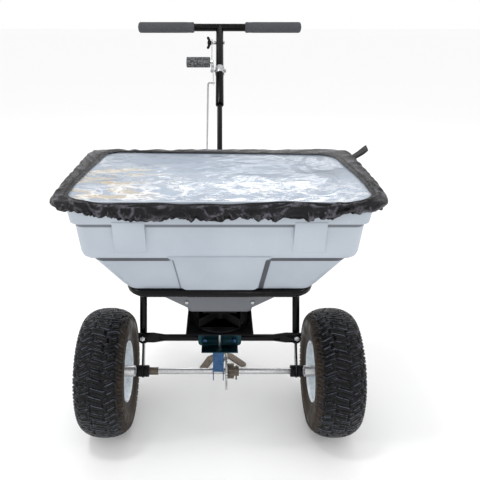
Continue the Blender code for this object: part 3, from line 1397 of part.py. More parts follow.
def build_frame(handle):
    """The loop, legs, brace, bushes, gear carrier, shroud, rear bracket and stand."""
    build_loop()
    bolt_places = [build_leg(word, side) for word, side in (("left", -1), ("right", 1))]
    brace, brace_y = build_brace(bolt_places)
    build_bushes()
    build_hanger(brace, brace_y)
    build_housing()
    build_shroud()
    build_stand()
    return build_rear_bracket(handle)


def build_control(handle, post):
    """The shutter control from the lever on the post down to the shutter plate, set closed."""
    build_clamp(handle, post)
    swing = joint_empty("lever_line", (0, 0, -PIVOT_DROP), handle, (LEVER_TRAVEL / 2, 0, 0))
    build_lever(swing)
    pin_y, pin_z, way = link_pose(LEVER_TRAVEL / 2)
    link = joint_empty("link_line", (LINK_X, pin_y, pin_z), handle, (way, 0, 0))
    build_link(link)
    build_wing_nut(joint_empty("wing_nut_line", (LINK_X, 0, -STOP_DROP), handle, (radians(20), 0, 0)))
    build_rod(handle)
    crank = joint_empty("crank_line", crank_pivot(), None, (HANDLE_TILT + CRANK_TRAVEL / 2, 0, 0))
    build_crank(crank)
    build_shutter(joint_empty("shutter_line", (0, 0, SHUTTER_HEIGHT)))
    build_guide()


def centre_over_origin():
    """Moves everything so that the origin is on the ground under the middle of the object."""
    for obj in bpy.data.objects:
        if obj.parent is None:
            obj.location.y -= MIDDLE_Y


def main():
    start()
    build_hopper()
    build_hopper_screws()
    build_cover(joint_empty("cover_line", (0, 0, RIM_HEIGHT)))
    handle = joint_empty("handle_line", HANDLE_TOP, None, (HANDLE_TILT, 0, 0))
    bolt_hole = build_frame(handle)
    post = build_handle(handle, bolt_hole)
    build_control(handle, post)
    build_wheels_and_drive()
    centre_over_origin()


main()
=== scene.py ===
"""The finished look of the walk-behind broadcast spreader, on its frame of solid parts.

The hopper, tube frame, gears, axle and control keep their shapes and get rounded edges and real
finishes. The tyres, the rain cover with its clear window, the pull tab and the foam grips are made
here. Metres, +Z up, the front faces -Y.
"""

import json
from math import atan2, cos, floor, hypot, pi, radians, sin

import bmesh
import bpy
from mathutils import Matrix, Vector, noise


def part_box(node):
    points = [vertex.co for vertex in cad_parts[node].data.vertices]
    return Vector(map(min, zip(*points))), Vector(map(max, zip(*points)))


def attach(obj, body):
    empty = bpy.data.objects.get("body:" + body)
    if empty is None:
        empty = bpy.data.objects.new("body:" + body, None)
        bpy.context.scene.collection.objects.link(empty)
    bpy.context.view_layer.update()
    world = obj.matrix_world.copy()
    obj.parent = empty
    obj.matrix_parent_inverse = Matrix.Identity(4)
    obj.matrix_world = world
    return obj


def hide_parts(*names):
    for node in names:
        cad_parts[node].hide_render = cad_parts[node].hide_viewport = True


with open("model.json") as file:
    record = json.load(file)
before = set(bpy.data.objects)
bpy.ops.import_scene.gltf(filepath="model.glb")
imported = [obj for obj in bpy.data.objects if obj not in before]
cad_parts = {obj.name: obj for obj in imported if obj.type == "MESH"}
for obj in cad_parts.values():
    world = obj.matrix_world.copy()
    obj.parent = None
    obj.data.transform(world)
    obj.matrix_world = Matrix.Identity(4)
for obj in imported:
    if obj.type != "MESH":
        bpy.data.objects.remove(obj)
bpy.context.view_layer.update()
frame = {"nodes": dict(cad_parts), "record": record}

# ---------------------------------------------------------------- view and light
VIEW_PLACE = Vector((0, -1.4768, 1.041))
VIEW_PITCH = radians(23.26)      # below level
VIEW_LENS = 40.42
VIEW_SHIFT = 0.0423
SKY_STRENGTH = 1.0
LAMP_TARGET = Vector((0, 0, 0.45))
LAMPS = (                        # name, place, side of the square, power in watts
    ("overhead", (-0.8, -0.9, 3.2), 0.40, 18),
    ("left", (-3.0, -1.6, 1.6), 0.28, 13),
    ("right", (3.0, -1.4, 1.9), 0.28, 11),
    ("front", (0.4, -3.4, 1.4), 0.28, 6),
    ("behind", (0.3, 3.2, 2.2), 1.0, 10),
)
FLOOR_SIZE = 30
FLOOR_WHITE = (0.96, 0.96, 0.96, 1)

# ---------------------------------------------------------------- rounded edges
EDGE_WIDTH = 0.0005
EDGE_WIDTHS = {                  # of the pieces that differ
    "hopper": 0.0010, "lever_grip": 0.0045, "spinner_shroud": 0.0012, "rim_left": 0.0010,
    "rim_right": 0.0010, "gear_hanger": 0.0008,
}
EDGE_ANGLE = radians(32)         # an edge that turns more than this is rounded
FLAT_ANGLE = radians(0.4)        # faces that meet at less are one face
SAME_POINT = 0.00001
EDGE_SEGMENTS = 2
MADE_HERE = {                    # the nodes that get a new shape instead
    "tyre_left", "tyre_right", "grip_left", "grip_right", "cover_border", "cover_window",
    "pull_tab",
}

# ---------------------------------------------------------------- hopper, from its own middle
BAND_SHADE = (0.1012, 0.1098)    # heights of the shade under the upper band
PAD_OUTER_EDGE = (0.212, 0.216)  # the flush side panels interrupt it, out from the middle
PAD_INNER_EDGE = (0.146, 0.150)
LEDGE_SHADE = (0.0160, 0.0292)
LEDGE_START = (0.100, 0.108)     # out from the middle, beside the apron
APRON_HEIGHTS = (-0.076, 0.0180)
APRON_HALF_WIDTH = 0.0945        # at the hopper's middle height
APRON_FLARE = 0.1056             # that it widens by for each metre up
LOW_WALL = (-0.112, -0.084)      # heights, where the shaded foot ends

# ---------------------------------------------------------------- tyre
TREAD_PITCHES = 48               # pattern repeats round the tyre
STEPS_PER_PITCH = 12
TREAD_DEPTH = 0.0050
TREAD_EDGE = radians(78)         # the tread ends this far round the section
TREAD_ACROSS = 64                # steps across the tread
WALL_STEPS = 10                  # steps down each sidewall
WALL_END = radians(122)
SECTION_MIDDLE = 0.735           # of the tyre's radius, where it is widest
SECTION_INSET = 0.0005           # that it stays inside the solid tyre, each side
SECTION_SQUARE = (0.86, 0.90)    # powers under 1 that square it off, sideways and outward
BEAD = (                         # in from the rim's edge, and out from the rim
    (0.001, 0.009), (0.003, 0.0015), (0.007, -0.0030),
)
RIB_HEIGHT = 0.0008              # of the rings on each sidewall
RIB_ANGLE = radians(96)          # round the section, the middle of one ring
RIB_RATE = 14                    # they are 2 pi / RIB_RATE apart
RIB_WIDTH = (0.85, 1.0)          # of a wave's height, between which one rises

# The tread's blocks: shares of a pitch along the tyre, and of the half tread across it.
ZIGZAG_SWING = 0.24
ZIGZAG_RATE = 1.6
ZIGZAG_START = 0.25
COLUMN_EDGES = (0.20, 0.58)
COLUMN_SHIFT = 0.05              # that the edges move from one row to the next
COLUMN_GROOVE = 0.026            # half its width
BLOCK_RISE = (0.06, 0.15)
BLOCK_FALL = (0.85, 0.94)
SLIT_HALF_WIDTH = (0.03, 0.08)
SLIT_DEPTH = 0.7                 # of the block's height
SLIT_MARGIN = 0.075              # from a column's edge to the slit's end
TREAD_FADE = (0.86, 1.0)

# ---------------------------------------------------------------- rain cover
COVER_LONG_STEPS = 250           # along the front and along the back
COVER_SIDE_STEPS = 140
COVER_CORNER_STEPS = 26
COVER_ROWS = 34                  # from the window's seam to the hem
RIM_STATION = 4                  # the station along which the folds are spaced
CLOTH_THICKNESS = 0.0007
HEM_RADIUS = 0.0021
HEM_SIDES = 8
COVER_CORNER = 0.042             # of the cover where it lies on the rim
SEAM_LAP = 0.006                 # of the border over the window's edge
SKIRT_SECTION = (                # past the rim and above it, from its edge down to the hem
    (0.0100, 0.0060), (0.0140, -0.0020), (0.0150, -0.0140), (0.0120, -0.0250), (0.0055, -0.0310),
)
SEAM_ROW = 5                     # the row of the border that the stitches follow
STITCH_LENGTH = 0.0028
STITCH_WIDTH = 0.0005
STITCH_RISE = 0.0008             # over the cloth

# The border's folds. Heights and spacings in metres. A span is shares of the way from the seam, 0,
# to the hem, 1, between which something begins.
FINE_PLEAT = 0.0105              # along the hem, from pleat to pleat
BROAD_FOLD = 0.034
LOOSE_FOLD = 0.055
FINE_RISE = 0.0042
BROAD_RISE = 0.0066
LOOSE_RISE_FRONT = 0.0075
LOOSE_RISE_BEHIND = 0.0030
BACK_SINK = 0.0035
FOLD_DRIFT = 0.035               # that folds wander sideways on the way down
HEM_RIPPLE = 0.0030
HEM_RIPPLE_LENGTH = 0.020
SKIRT_SPAN = (0.42, 0.62)
TOP_SPAN = (0.08, 0.25)
BROAD_SPAN = (0.28, 0.55)
FINE_SPAN = (0.60, 0.88)
RIPPLE_SPAN = (0.8, 1.0)
CREST_SPAN = (0.05, 0.2)
CORNER_OUT_SPAN = (0.25, 0.45)
CORNER_UP_SPAN = (0.35, 1.0)
SEAM_FADE = (0.06, 0.34)         # over which the window's own outline is lost
WAVE_FADE = (0.2, 0.9)
FACING = (0.35, 1.0)             # how squarely a side faces the front or the back
CORNER_UP = 0.020                # that the skirt is drawn up toward the ends
CORNER_UP_FROM = (0.17, 0.30)    # out from the middle
LEFT_BULGE, RIGHT_BULGE = 0.009, 0.004  # of the front corners
BULGE_X, BULGE_Y = 0.330, 0.19   # where they are, out from the middle and forward
BULGE_REACH = 0.075
RIGHT_SLACK = (0.06, 0.26)       # to the right of the middle, where the front lies looser
LEAN_STEP = 0.01                 # of the section, over which its slope is taken

# ---------------------------------------------------------------- clear window
FILM_CORNER = 0.040
FILM_THICKNESS = 0.0004
FILM_STEPS = (150, 76)
FILM_SAG = 0.010
FILM_BELOW = 0.0004              # under the top of its solid
FILM_FOLD = 0.0042
FILM_SMALL_FOLD = 0.0016
FILM_DROP = 0.0100               # where it is drawn down over the front of the rim
LIP_DROP = 0.0040                # and further at its front lip
LIP_TUCK = 0.0115
LIP_START = (0.172, 0.187)       # forward of the rim's middle
BACK_SKEW = 0.012                # that the back seam lies further back than its frame
BACK_SKEW_SLOPE = 0.055          # and more toward the left
BACK_SPAN = (-0.08, 0.13)        # back from the middle, over which the skew begins
END_NARROWING = 0.060            # of its width, toward the back
NARROWING_SPAN = (-0.12, 0.16)
DRAWN_SPAN = (0.08, 0.165)       # forward of the middle, where the cover is drawn down
DRAWN_END = (0.19, 0.30)         # out from the middle, where that is less
DRAWN_LESS = 0.6
SLACK_HEIGHT = 0.0060            # of the front seam's wave

# ---------------------------------------------------------------- pull tab
TAB_STEPS = 26
TAB_HALF_THICKNESS = 0.0024      # of the doubled strap, at its root
TAB_TUCKED = 0.014               # under the border
TAB_LONGER = 0.012               # than its solid
TAB_LIFT = 0.004
TAB_CURL = 0.026
TAB_TWIST = 0.006
TAB_EDGE = 0.0006

# ---------------------------------------------------------------- foam grips
GRIP_STEPS = 84
GRIP_SIDES = 40
GRIP_LIP = 0.005                 # length of the rounded inner lip
GRIP_DOME = 0.010                # length of the domed outer end
GRIP_OVER_BAR = 0.0003
GRIP_NECK = 0.030                # share of the radius lost behind the lip
GRIP_NECK_IN = (0.004, 0.016)    # from the inner end, where it narrows
GRIP_NECK_OUT = (0.016, 0.030)   # and where it widens again
GRIP_DENT = 0.018                # share of the radius
GRIP_TIP = 0.0006                # radius left at the very ends


# ---------------------------------------------------------------- finishes
class Value:
    """A number from a shader socket. Arithmetic on it adds Math nodes."""

    def __init__(self, finish, socket):
        self.finish = finish
        self.socket = socket

    def maths(self, operation, *terms):
        node = self.finish.node("ShaderNodeMath", {"operation": operation}, dict(enumerate(terms)))
        return Value(self.finish, node.outputs[0])

    def __add__(self, other):
        return self.maths("ADD", self, other)

    def __radd__(self, other):
        return self.maths("ADD", other, self)

    def __sub__(self, other):
        return self.maths("SUBTRACT", self, other)

    def __rsub__(self, other):
        return self.maths("SUBTRACT", other, self)

    def __mul__(self, other):
        return self.maths("MULTIPLY", self, other)

    def __rmul__(self, other):
        return self.maths("MULTIPLY", other, self)

    def __pow__(self, other):
        return self.maths("POWER", self, other)

    def __abs__(self):
        return self.maths("ABSOLUTE", self)

    def sine(self):
        return self.maths("SINE", self)

    def larger(self, other):
        return self.maths("MAXIMUM", self, other)

    def between(self, low, high):
        """0 where the value is under low, 1 where it is over high, smooth between."""
        node = self.finish.node(
            "ShaderNodeMapRange", {"interpolation_type": "SMOOTHSTEP"},
            {"Value": self, "From Min": low, "From Max": high},
        )
        return Value(self.finish, node.outputs["Result"])

    def within(self, low, high, soft):
        """1 from low to high, falling smoothly to 0 on both sides."""
        return self.between(low - soft, low) * (1 - self.between(high, high + soft))


class Finish:
    """A material on one Principled shader, built a node at a time."""

    def __init__(self, name, **constants):
        self.material = bpy.data.materials.new(name)
        self.material.use_nodes = True
        self.tree = self.material.node_tree
        self.shader = self.tree.nodes["Principled BSDF"]
        self.output = self.tree.nodes["Material Output"]
        for word, value in constants.items():
            socket = word.replace("_", " ").title().replace("Ior", "IOR")
            self.shader.inputs[socket].default_value = value
        self.places = self.node("ShaderNodeTexCoord").outputs["Object"]

    def node(self, kind, settings=None, sockets=None):
        """A node of this type: its settings first, then the values or links of its sockets."""
        made = self.tree.nodes.new(kind)
        for name, value in (settings or {}).items():
            setattr(made, name, value)
        for name, value in (sockets or {}).items():
            if isinstance(value, Value):
                value = value.socket
            if isinstance(value, bpy.types.NodeSocket):
                self.tree.links.new(value, made.inputs[name])
            else:
                made.inputs[name].default_value = value
        return made

    def stretched(self, scale):
        """The piece's own places, scaled along each axis."""
        return self.node(
            "ShaderNodeVectorMath", {"operation": "MULTIPLY"}, {0: self.places, 1: scale}
        ).outputs[0]

    def cloudy(self, scale, detail=3.0, roughness=0.5, places=None):
        """Soft noise from 0 to 1, with this many lumps to the metre."""
        sockets = {
            "Vector": places or self.places, "Scale": scale, "Detail": detail,
            "Roughness": roughness,
        }
        return Value(self, self.node("ShaderNodeTexNoise", {}, sockets).outputs[0])

    def cells(self, scale):
        """How far it is to the nearest of scattered points, with this many to the metre."""
        node = self.node("ShaderNodeTexVoronoi", {}, {"Vector": self.places, "Scale": scale})
        return Value(self, node.outputs["Distance"])

    def along(self, axis):
        """The piece's own coordinate along X, Y or Z, in metres."""
        return Value(self, self.node("ShaderNodeSeparateXYZ", {}, {0: self.places}).outputs[axis])

    def facing_out(self):
        """1 on faces that look away from the piece's upright middle line, 0 on inner faces."""
        normal = self.node("ShaderNodeTexCoord").outputs["Normal"]
        node = self.node(
            "ShaderNodeVectorMath", {"operation": "DOT_PRODUCT"},
            {0: normal, 1: self.stretched((1, 1, 0))},
        )
        return Value(self, node.outputs["Value"]).between(0.0, 0.004)

    def stored(self, name):
        """A number kept at each point of the mesh under this name."""
        node = self.node("ShaderNodeAttribute", {"attribute_name": name})
        return Value(self, node.outputs["Fac"])

    def blend(self, mask, below, above):
        """The colour below where the mask is 0, and the one above where it is 1."""
        below, above = ((*c, 1) if isinstance(c, tuple) else c for c in (below, above))
        mix = self.node("ShaderNodeMix", {"data_type": "RGBA"}, {0: mask, 6: below, 7: above})
        return mix.outputs[2]

    def colour(self, colour):
        self.tree.links.new(colour, self.shader.inputs["Base Color"])

    def roughness(self, value):
        self.tree.links.new(value.socket, self.shader.inputs["Roughness"])

    def relief(self, height, depth):
        """Bumps of this depth in metres, from a height of 0 to 1."""
        bump = self.node(
            "ShaderNodeBump", {}, {"Height": height, "Distance": depth, "Strength": 1.0}
        )
        self.tree.links.new(bump.outputs[0], self.shader.inputs["Normal"])


def hopper_plastic():
    """Matt, slightly waxy polyethylene: moulded grain, faint scuffs, shade under each step."""
    made = Finish("hopper_plastic", Coat_Weight=0.05, Coat_Roughness=0.3)
    x, z = made.along("X"), made.along("Z")
    wide = abs(x)
    patches = made.cloudy(7, 4).between(0.25, 0.75)
    scuffs = made.cloudy(240, 5, 0.7, made.stretched((1, 1, 0.12))).between(0.60, 0.72)
    beside_pads = wide.between(*PAD_OUTER_EDGE) + 1 - wide.between(*PAD_INNER_EDGE)
    # painted shade: dark lines under the upper band and under the ledge
    under_band = z.within(*BAND_SHADE, 0.0006) * beside_pads
    under_ledge = z.within(*LEDGE_SHADE, 0.0008) * wide.between(*LEDGE_START)
    apron_edge = APRON_HALF_WIDTH + z * APRON_FLARE
    apron_height = z.within(*APRON_HEIGHTS, 0.003)
    # painted shadow beside the apron, darker on its right side than on its left
    right_apron_shadow = (x - apron_edge).within(0.001, 0.0100, 0.002) * apron_height
    left_apron_shadow = (-1 * x - apron_edge).within(0.0005, 0.0025, 0.001) * apron_height
    outside = made.facing_out()
    steps = under_band * 0.72 + under_ledge * 0.9
    apron_shadows = right_apron_shadow * 0.93 + left_apron_shadow * 0.6
    shaded = steps.larger(apron_shadows) * (0.18 + outside * 0.82)
    # painted shadow: the hopper's foot, below the front loop, turns near black
    low_wall_shadow = 1 - z.between(*LOW_WALL)
    body = made.blend(patches, (0.385, 0.432, 0.492), (0.440, 0.485, 0.545))
    body = made.blend(scuffs * 0.25, body, (0.62, 0.66, 0.72))
    body = made.blend(low_wall_shadow * 0.82, body, (0.060, 0.060, 0.064))
    # painted light: the inner walls are made lighter than the outer ones
    body = made.blend((1 - outside) * 0.65, body, (0.66, 0.74, 0.84))
    made.colour(made.blend(shaded, body, (0.035, 0.038, 0.046)))
    made.roughness(0.40 + made.cloudy(30, 4) * 0.14)
    made.relief(made.cloudy(1500, 2) * 0.5 + made.cloudy(60, 2) * 0.5, 0.00022)
    return made.material


def gloss_black():
    """Black powder coat: orange peel, dust and a brighter line where edges are rubbed."""
    made = Finish("gloss_black", Coat_Weight=0.05, Coat_Roughness=0.06, Specular_IOR_Level=0.12)
    dust = made.cloudy(35, 5, 0.65).between(0.48, 0.78)
    worn = made.cloudy(260, 4, 0.75).between(0.66, 0.74)
    body = made.blend(dust * 0.25, (0.0022, 0.0022, 0.0030), (0.014, 0.013, 0.013))
    made.colour(made.blend(worn * 0.25, body, (0.10, 0.10, 0.11)))
    made.roughness(0.20 + dust * 0.14)
    made.relief(made.cloudy(420, 2), 0.00022)
    return made.material


def satin_black():
    """Moulded black plastic with a fine grain and a slight haze."""
    made = Finish("satin_black", Specular_IOR_Level=0.12)
    haze = made.cloudy(40, 4).between(0.35, 0.8)
    made.colour(made.blend(haze * 0.6, (0.0040, 0.0040, 0.0050), (0.014, 0.014, 0.016)))
    made.roughness(0.42 + made.cloudy(90, 3) * 0.2)
    made.relief(made.cells(1400), 0.00012)
    return made.material


def plated(name, bright, dull, roughness, stain):
    """Plated steel: a mottled plating, fine grain, and stains where it has dulled."""
    made = Finish(name, Metallic=1.0)
    mottled = made.cells(260).between(0.1, 0.9)
    stained = made.cloudy(55, 5, 0.7).between(0.52, 0.74)
    grain = made.cloudy(900, 2)
    body = made.blend(mottled * 0.5 + grain * 0.3, bright, dull)
    brown = (dull[0] * 0.55, dull[1] * 0.48, dull[2] * 0.38)
    made.colour(made.blend(stained * stain, body, brown))
    made.roughness(roughness + grain * 0.16 + stained * 0.18)
    made.relief(grain * 0.6 + mottled * 0.4, 0.00010)
    return made.material


def grip_foam():
    """Closed-cell foam: dark grey, dull, with small open pores."""
    made = Finish("grip_foam", Specular_IOR_Level=0.25)
    pores = made.cells(760).between(0.12, 0.5)
    rubbed = made.cloudy(26, 4).between(0.4, 0.75)
    body = made.blend(pores, (0.028, 0.030, 0.034), (0.080, 0.084, 0.094))
    made.colour(made.blend(rubbed * 0.35, body, (0.060, 0.062, 0.067)))
    made.roughness(0.82 + rubbed * 0.1)
    made.relief(pores * 0.8 + made.cloudy(160, 3) * 0.2, 0.0006)
    return made.material


def lever_rubber():
    """The lever grip's dull rubber, chalky on its ribs."""
    made = Finish("lever_rubber", Specular_IOR_Level=0.3)
    chalk = made.cloudy(140, 5, 0.75).between(0.42, 0.66)
    made.colour(made.blend(chalk, (0.032, 0.034, 0.038), (0.19, 0.195, 0.20)))
    made.roughness(0.70 + chalk * 0.2)
    made.relief(made.cloudy(800, 3) * 0.6 + made.cells(500) * 0.4, 0.0004)
    return made.material


def tyre_rubber(word, inward):
    """Tyre rubber: polished tops with painted sheen, painted glints on edges, brown down the inner
    wall.
    """
    made = Finish("tyre_rubber_" + word, Specular_IOR_Level=0.17)
    patches = made.cloudy(32, 5, 0.6)
    # brown patches down the inner sidewall, rougher there
    wall = (made.along("X") * inward).between(0.040, 0.056) * patches.between(0.22, 0.62)
    rise = made.stored("tread")
    # painted glints: pale bluish lines along the blocks' edges
    edge_glint_mask = made.stored("bar").within(0.45, 0.80, 0.15) * rise.between(0.20, 0.45)
    edge = edge_glint_mask * made.cloudy(75, 3).between(0.32, 0.58)
    # block tops polished, and lightened with a painted bluish sheen
    polished_and_sheen = rise.between(0.7, 1.0) * made.cloudy(60, 3).between(0.3, 0.7)
    body = made.blend(polished_and_sheen, (0.0013, 0.0014, 0.0019), (0.0055, 0.0060, 0.0085))
    body = made.blend(edge * 0.7, body, (0.095, 0.105, 0.135))
    made.colour(made.blend(wall * 0.75, body, (0.052, 0.036, 0.022)))
    made.roughness(0.28 - polished_and_sheen * 0.10 + wall * 0.4)
    made.relief(made.cloudy(520, 4, 0.6) * 0.6 + patches * 0.4, 0.00030)
    return made.material


def rim_paint():
    """White wheel paint with a cool tint, grey dust gathered toward the bead and the hub."""
    made = Finish("rim_paint", Coat_Weight=0.3, Coat_Roughness=0.15)
    y, z = made.along("Y"), made.along("Z")
    out = (y * y + z * z) ** 0.5
    near_edges = out.between(0.060, 0.078) + 1 - out.between(0.016, 0.026)
    grime = near_edges * made.cloudy(70, 5, 0.7).between(0.4, 0.7)
    body = made.blend(made.cloudy(18, 3), (0.70, 0.80, 0.86), (0.84, 0.89, 0.93))
    made.colour(made.blend(grime * 0.5, body, (0.30, 0.29, 0.27)))
    made.roughness(0.28 + grime * 0.3 + made.cloudy(50, 2) * 0.1)
    made.relief(made.cloudy(300, 2), 0.00015)
    return made.material


def nylon_cloth():
    """Coated black nylon: a fine plain weave, small creases, lint and painted highlights on the
    crests.
    """
    made = Finish("nylon_cloth", Specular_IOR_Level=0.20)
    x, y, z = (made.along(axis) for axis in "XYZ")
    warp = (x * 2600).sine()
    weft = ((y + z) * 2600).sine()
    weave = (warp * weft) * 0.5 + 0.5
    creases = made.cloudy(95, 5, 0.65, made.stretched((1, 1, 0.5)))
    lint = made.cloudy(300, 4, 0.75).between(0.62, 0.75)
    # painted highlights along the folds' crests, in patches
    crests = made.stored("crest").between(0.62, 0.97) * made.cloudy(180, 3).between(0.30, 0.60)
    caught_highlight = made.cloudy(21, 3).between(0.35, 0.55)
    creased = creases.between(0.3, 0.7)
    body = made.blend(creased, (0.0018, 0.0018, 0.0026), (0.0055, 0.0055, 0.0080))
    body = made.blend(crests * caught_highlight * 0.75, body, (0.125, 0.118, 0.142))
    made.colour(made.blend(lint * 0.2, body, (0.05, 0.048, 0.048)))
    made.roughness(0.20 + weave * 0.05 + creases * 0.12)
    made.relief(weave * 0.06 + creases * 0.94, 0.0034)
    return made.material


def webbing():
    """The pull tab's and the hem's ribbed black tape."""
    made = Finish("webbing", Specular_IOR_Level=0.3, Sheen_Weight=0.2)
    ribs = ((made.along("X") + made.along("Y")) * 3200).sine() * 0.5 + 0.5
    fuzz = made.cloudy(700, 4, 0.7)
    made.colour(made.blend(ribs * fuzz, (0.006, 0.006, 0.007), (0.030, 0.030, 0.033)))
    made.roughness(0.72 + fuzz * 0.15)
    made.relief(ribs * 0.6 + fuzz * 0.4, 0.0006)
    return made.material


def clear_film():
    """Clear vinyl: painted highlights on creases and glints, painted milky and warm reflections."""
    made = Finish(
        "clear_film", Roughness=0.08, Specular_IOR_Level=0.8, Coat_Weight=0.5, Coat_Roughness=0.05
    )
    x, y = made.along("X"), made.along("Y")
    flow = made.stretched((0.45, 1.0, 1.0))
    folds = made.cloudy(13, 6, 0.62, flow)
    crease = (1 - abs(folds - 0.5) * 26).larger(0)
    glints = (1 - abs(made.cloudy(22, 5, 0.6, flow) - 0.5) * 40).larger(0)
    pulled = made.cloudy(3.4, 2, 0.4, flow).between(0.42, 0.66)
    # painted reflection: milky patches where more of the film's lit surface shows
    milky_reflection = made.cloudy(6.5, 3, 0.5, flow).between(0.30, 0.75)
    toward_ends = (-1 * x).between(0.06, 0.24)
    # painted reflection: warm tan streaks, mostly toward the left end and not at the back
    warm_reflection = made.cloudy(26, 4, 0.6, made.stretched((0.5, 1.6, 1))).between(0.47, 0.58)
    warm_reflection = warm_reflection * (0.12 + toward_ends * 0.88) * (1 - y.between(0.02, 0.13))
    body = made.blend(warm_reflection, (0.80, 0.87, 0.97), (0.72, 0.60, 0.42))
    # painted highlights: creases and glints turn near white
    made.colour(made.blend((crease + glints) * pulled, body, (0.98, 0.98, 0.99)))
    made.relief(folds * 0.7 + made.cloudy(60, 4, 0.6, flow) * 0.3, 0.003)
    see_through = made.node("ShaderNodeBsdfTransparent", {}, {"Color": (0.97, 0.98, 0.99, 1)})
    shown = 0.17 + milky_reflection * 0.06 + pulled * (crease * 0.40 + glints * 0.30 + 0.04) + warm_reflection * 0.30
    mixed = made.node(
        "ShaderNodeMixShader", {},
        {0: shown, 1: see_through.outputs[0], 2: made.shader.outputs[0]},
    )
    made.tree.links.new(mixed.outputs[0], made.output.inputs["Surface"])
    return made.material


def pale_floor():
    made = Finish("pale_floor", Roughness=0.9, Specular_IOR_Level=0.1)
    made.shader.inputs["Base Color"].default_value = FLOOR_WHITE
    return made.material


# ---------------------------------------------------------------- mesh helpers
def body_of(node):
    """The moving body that holds a node."""
    for body, nodes in frame["record"]["behaviour"]["bodies"].items():
        if node in nodes:
            return body
    return "frame"


def slot_of(node):
    return next(s["material_slot"] for s in frame["record"]["subparts"] if s["node"] == node)


def new_piece(name, bm, finish, node, at=(0, 0, 0)):
    """A smooth piece from a bmesh, in place of a node and riding with it."""
    mesh = bpy.data.meshes.new(name)
    bmesh.ops.recalc_face_normals(bm, faces=bm.faces)
    bm.to_mesh(mesh)
    bm.free()
    for face in mesh.polygons:
        face.use_smooth = True
    mesh.materials.append(finish)
    piece = bpy.data.objects.new(name, mesh)
    piece.location = at
    bpy.context.scene.collection.objects.link(piece)
    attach(piece, body_of(node))
    return piece


def middle_of(node):
    low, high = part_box(node)
    return (low + high) / 2


def smoothstep(low, high, value):
    share = min(max((value - low) / (high - low), 0.0), 1.0)
    return share * share * (3 - 2 * share)


def skin(bm, rows, closed_round=True, closed_across=False):
    """Faces between rows of points; each row may close on itself, and the last row on the first."""
    made = [[bm.verts.new(point) for point in row] for row in rows]
    pairs = list(zip(made, made[1:])) + ([(made[-1], made[0])] if closed_across else [])
    for first, second in pairs:
        count = len(first)
        for i in range(count if closed_round else count - 1):
            j = (i + 1) % count
            bm.faces.new((first[i], first[j], second[j], second[i]))
    return made


def skin_with(bm, numbers, rows, closed_across=False):
    """A skin of closed rows that keeps named numbers, row by row, at its points."""
    for name, _ in numbers:
        bm.verts.layers.float.new(name)
    made = skin(bm, rows, closed_across=closed_across)
    for name, values in numbers:
        layer = bm.verts.layers.float[name]
        for ring, row in zip(made, values):
            for point, number in zip(ring, row):
                point[layer] = number


def rounded(node, finish):
    """A copy of a node's solid with its sharp edges rounded."""
    source = frame["nodes"][node]
    bm = bmesh.new()
    bm.from_mesh(source.data)
    bmesh.ops.remove_doubles(bm, verts=bm.verts, dist=SAME_POINT)
    bmesh.ops.dissolve_limit(
        bm, angle_limit=FLAT_ANGLE, verts=bm.verts, edges=bm.edges, delimit={"NORMAL"}
    )
    centre = middle_of(node)
    bmesh.ops.translate(bm, verts=bm.verts, vec=-centre)
    piece = new_piece(node + "_finished", bm, finish, node, centre)
    edge = piece.modifiers.new("edges", "BEVEL")
    edge.width = EDGE_WIDTHS.get(node, EDGE_WIDTH)
    edge.segments = EDGE_SEGMENTS
    edge.limit_method = "ANGLE"
    edge.angle_limit = EDGE_ANGLE
    edge.harden_normals = True
    edge.use_clamp_overlap = True
    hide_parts(node)


# ---------------------------------------------------------------- tyres
def groove_beside(value, edge, half_width):
    """0 in a groove round an edge, 1 on the blocks beside it."""
    return smoothstep(half_width * 0.5, half_width * 1.5, abs(value - edge))


def beside_columns(place, inner, outer, half_width):
    """The same for both edges between the columns of blocks."""
    return groove_beside(place, inner, half_width) * groove_beside(place, outer, half_width)


def zigzag(value):
    """A wave with straight flanks from -1 to 1 and back, once for each whole number."""
    share = value - floor(value)
    return 4 * abs(share - 0.5) - 1


def tread_height(turn, across):
    """How far the tread stands out, 0 in a groove and 1 on a block, and that of its row alone."""
    wave = turn + ZIGZAG_SWING * zigzag(across * ZIGZAG_RATE + ZIGZAG_START)
    shift = COLUMN_SHIFT if floor(wave) % 2 else -COLUMN_SHIFT
    side = -1 if across < 0 else 1
    inner, outer = COLUMN_EDGES[0] + side * shift, COLUMN_EDGES[1] - side * shift
    place = abs(across)
    if inner < place < outer:
        wave += 0.5
    share = wave - floor(wave)
    block = smoothstep(*BLOCK_RISE, share) * (1 - smoothstep(*BLOCK_FALL, share))
    walls = beside_columns(place, inner, outer, COLUMN_GROOVE)
    slit = 1 - smoothstep(*SLIT_HALF_WIDTH, abs(share - 0.5))
    in_block = beside_columns(place, inner, outer, SLIT_MARGIN)
    fade = 1 - smoothstep(*TREAD_FADE, place)
    return block * walls * (1 - SLIT_DEPTH * slit * in_block) * fade, block * fade


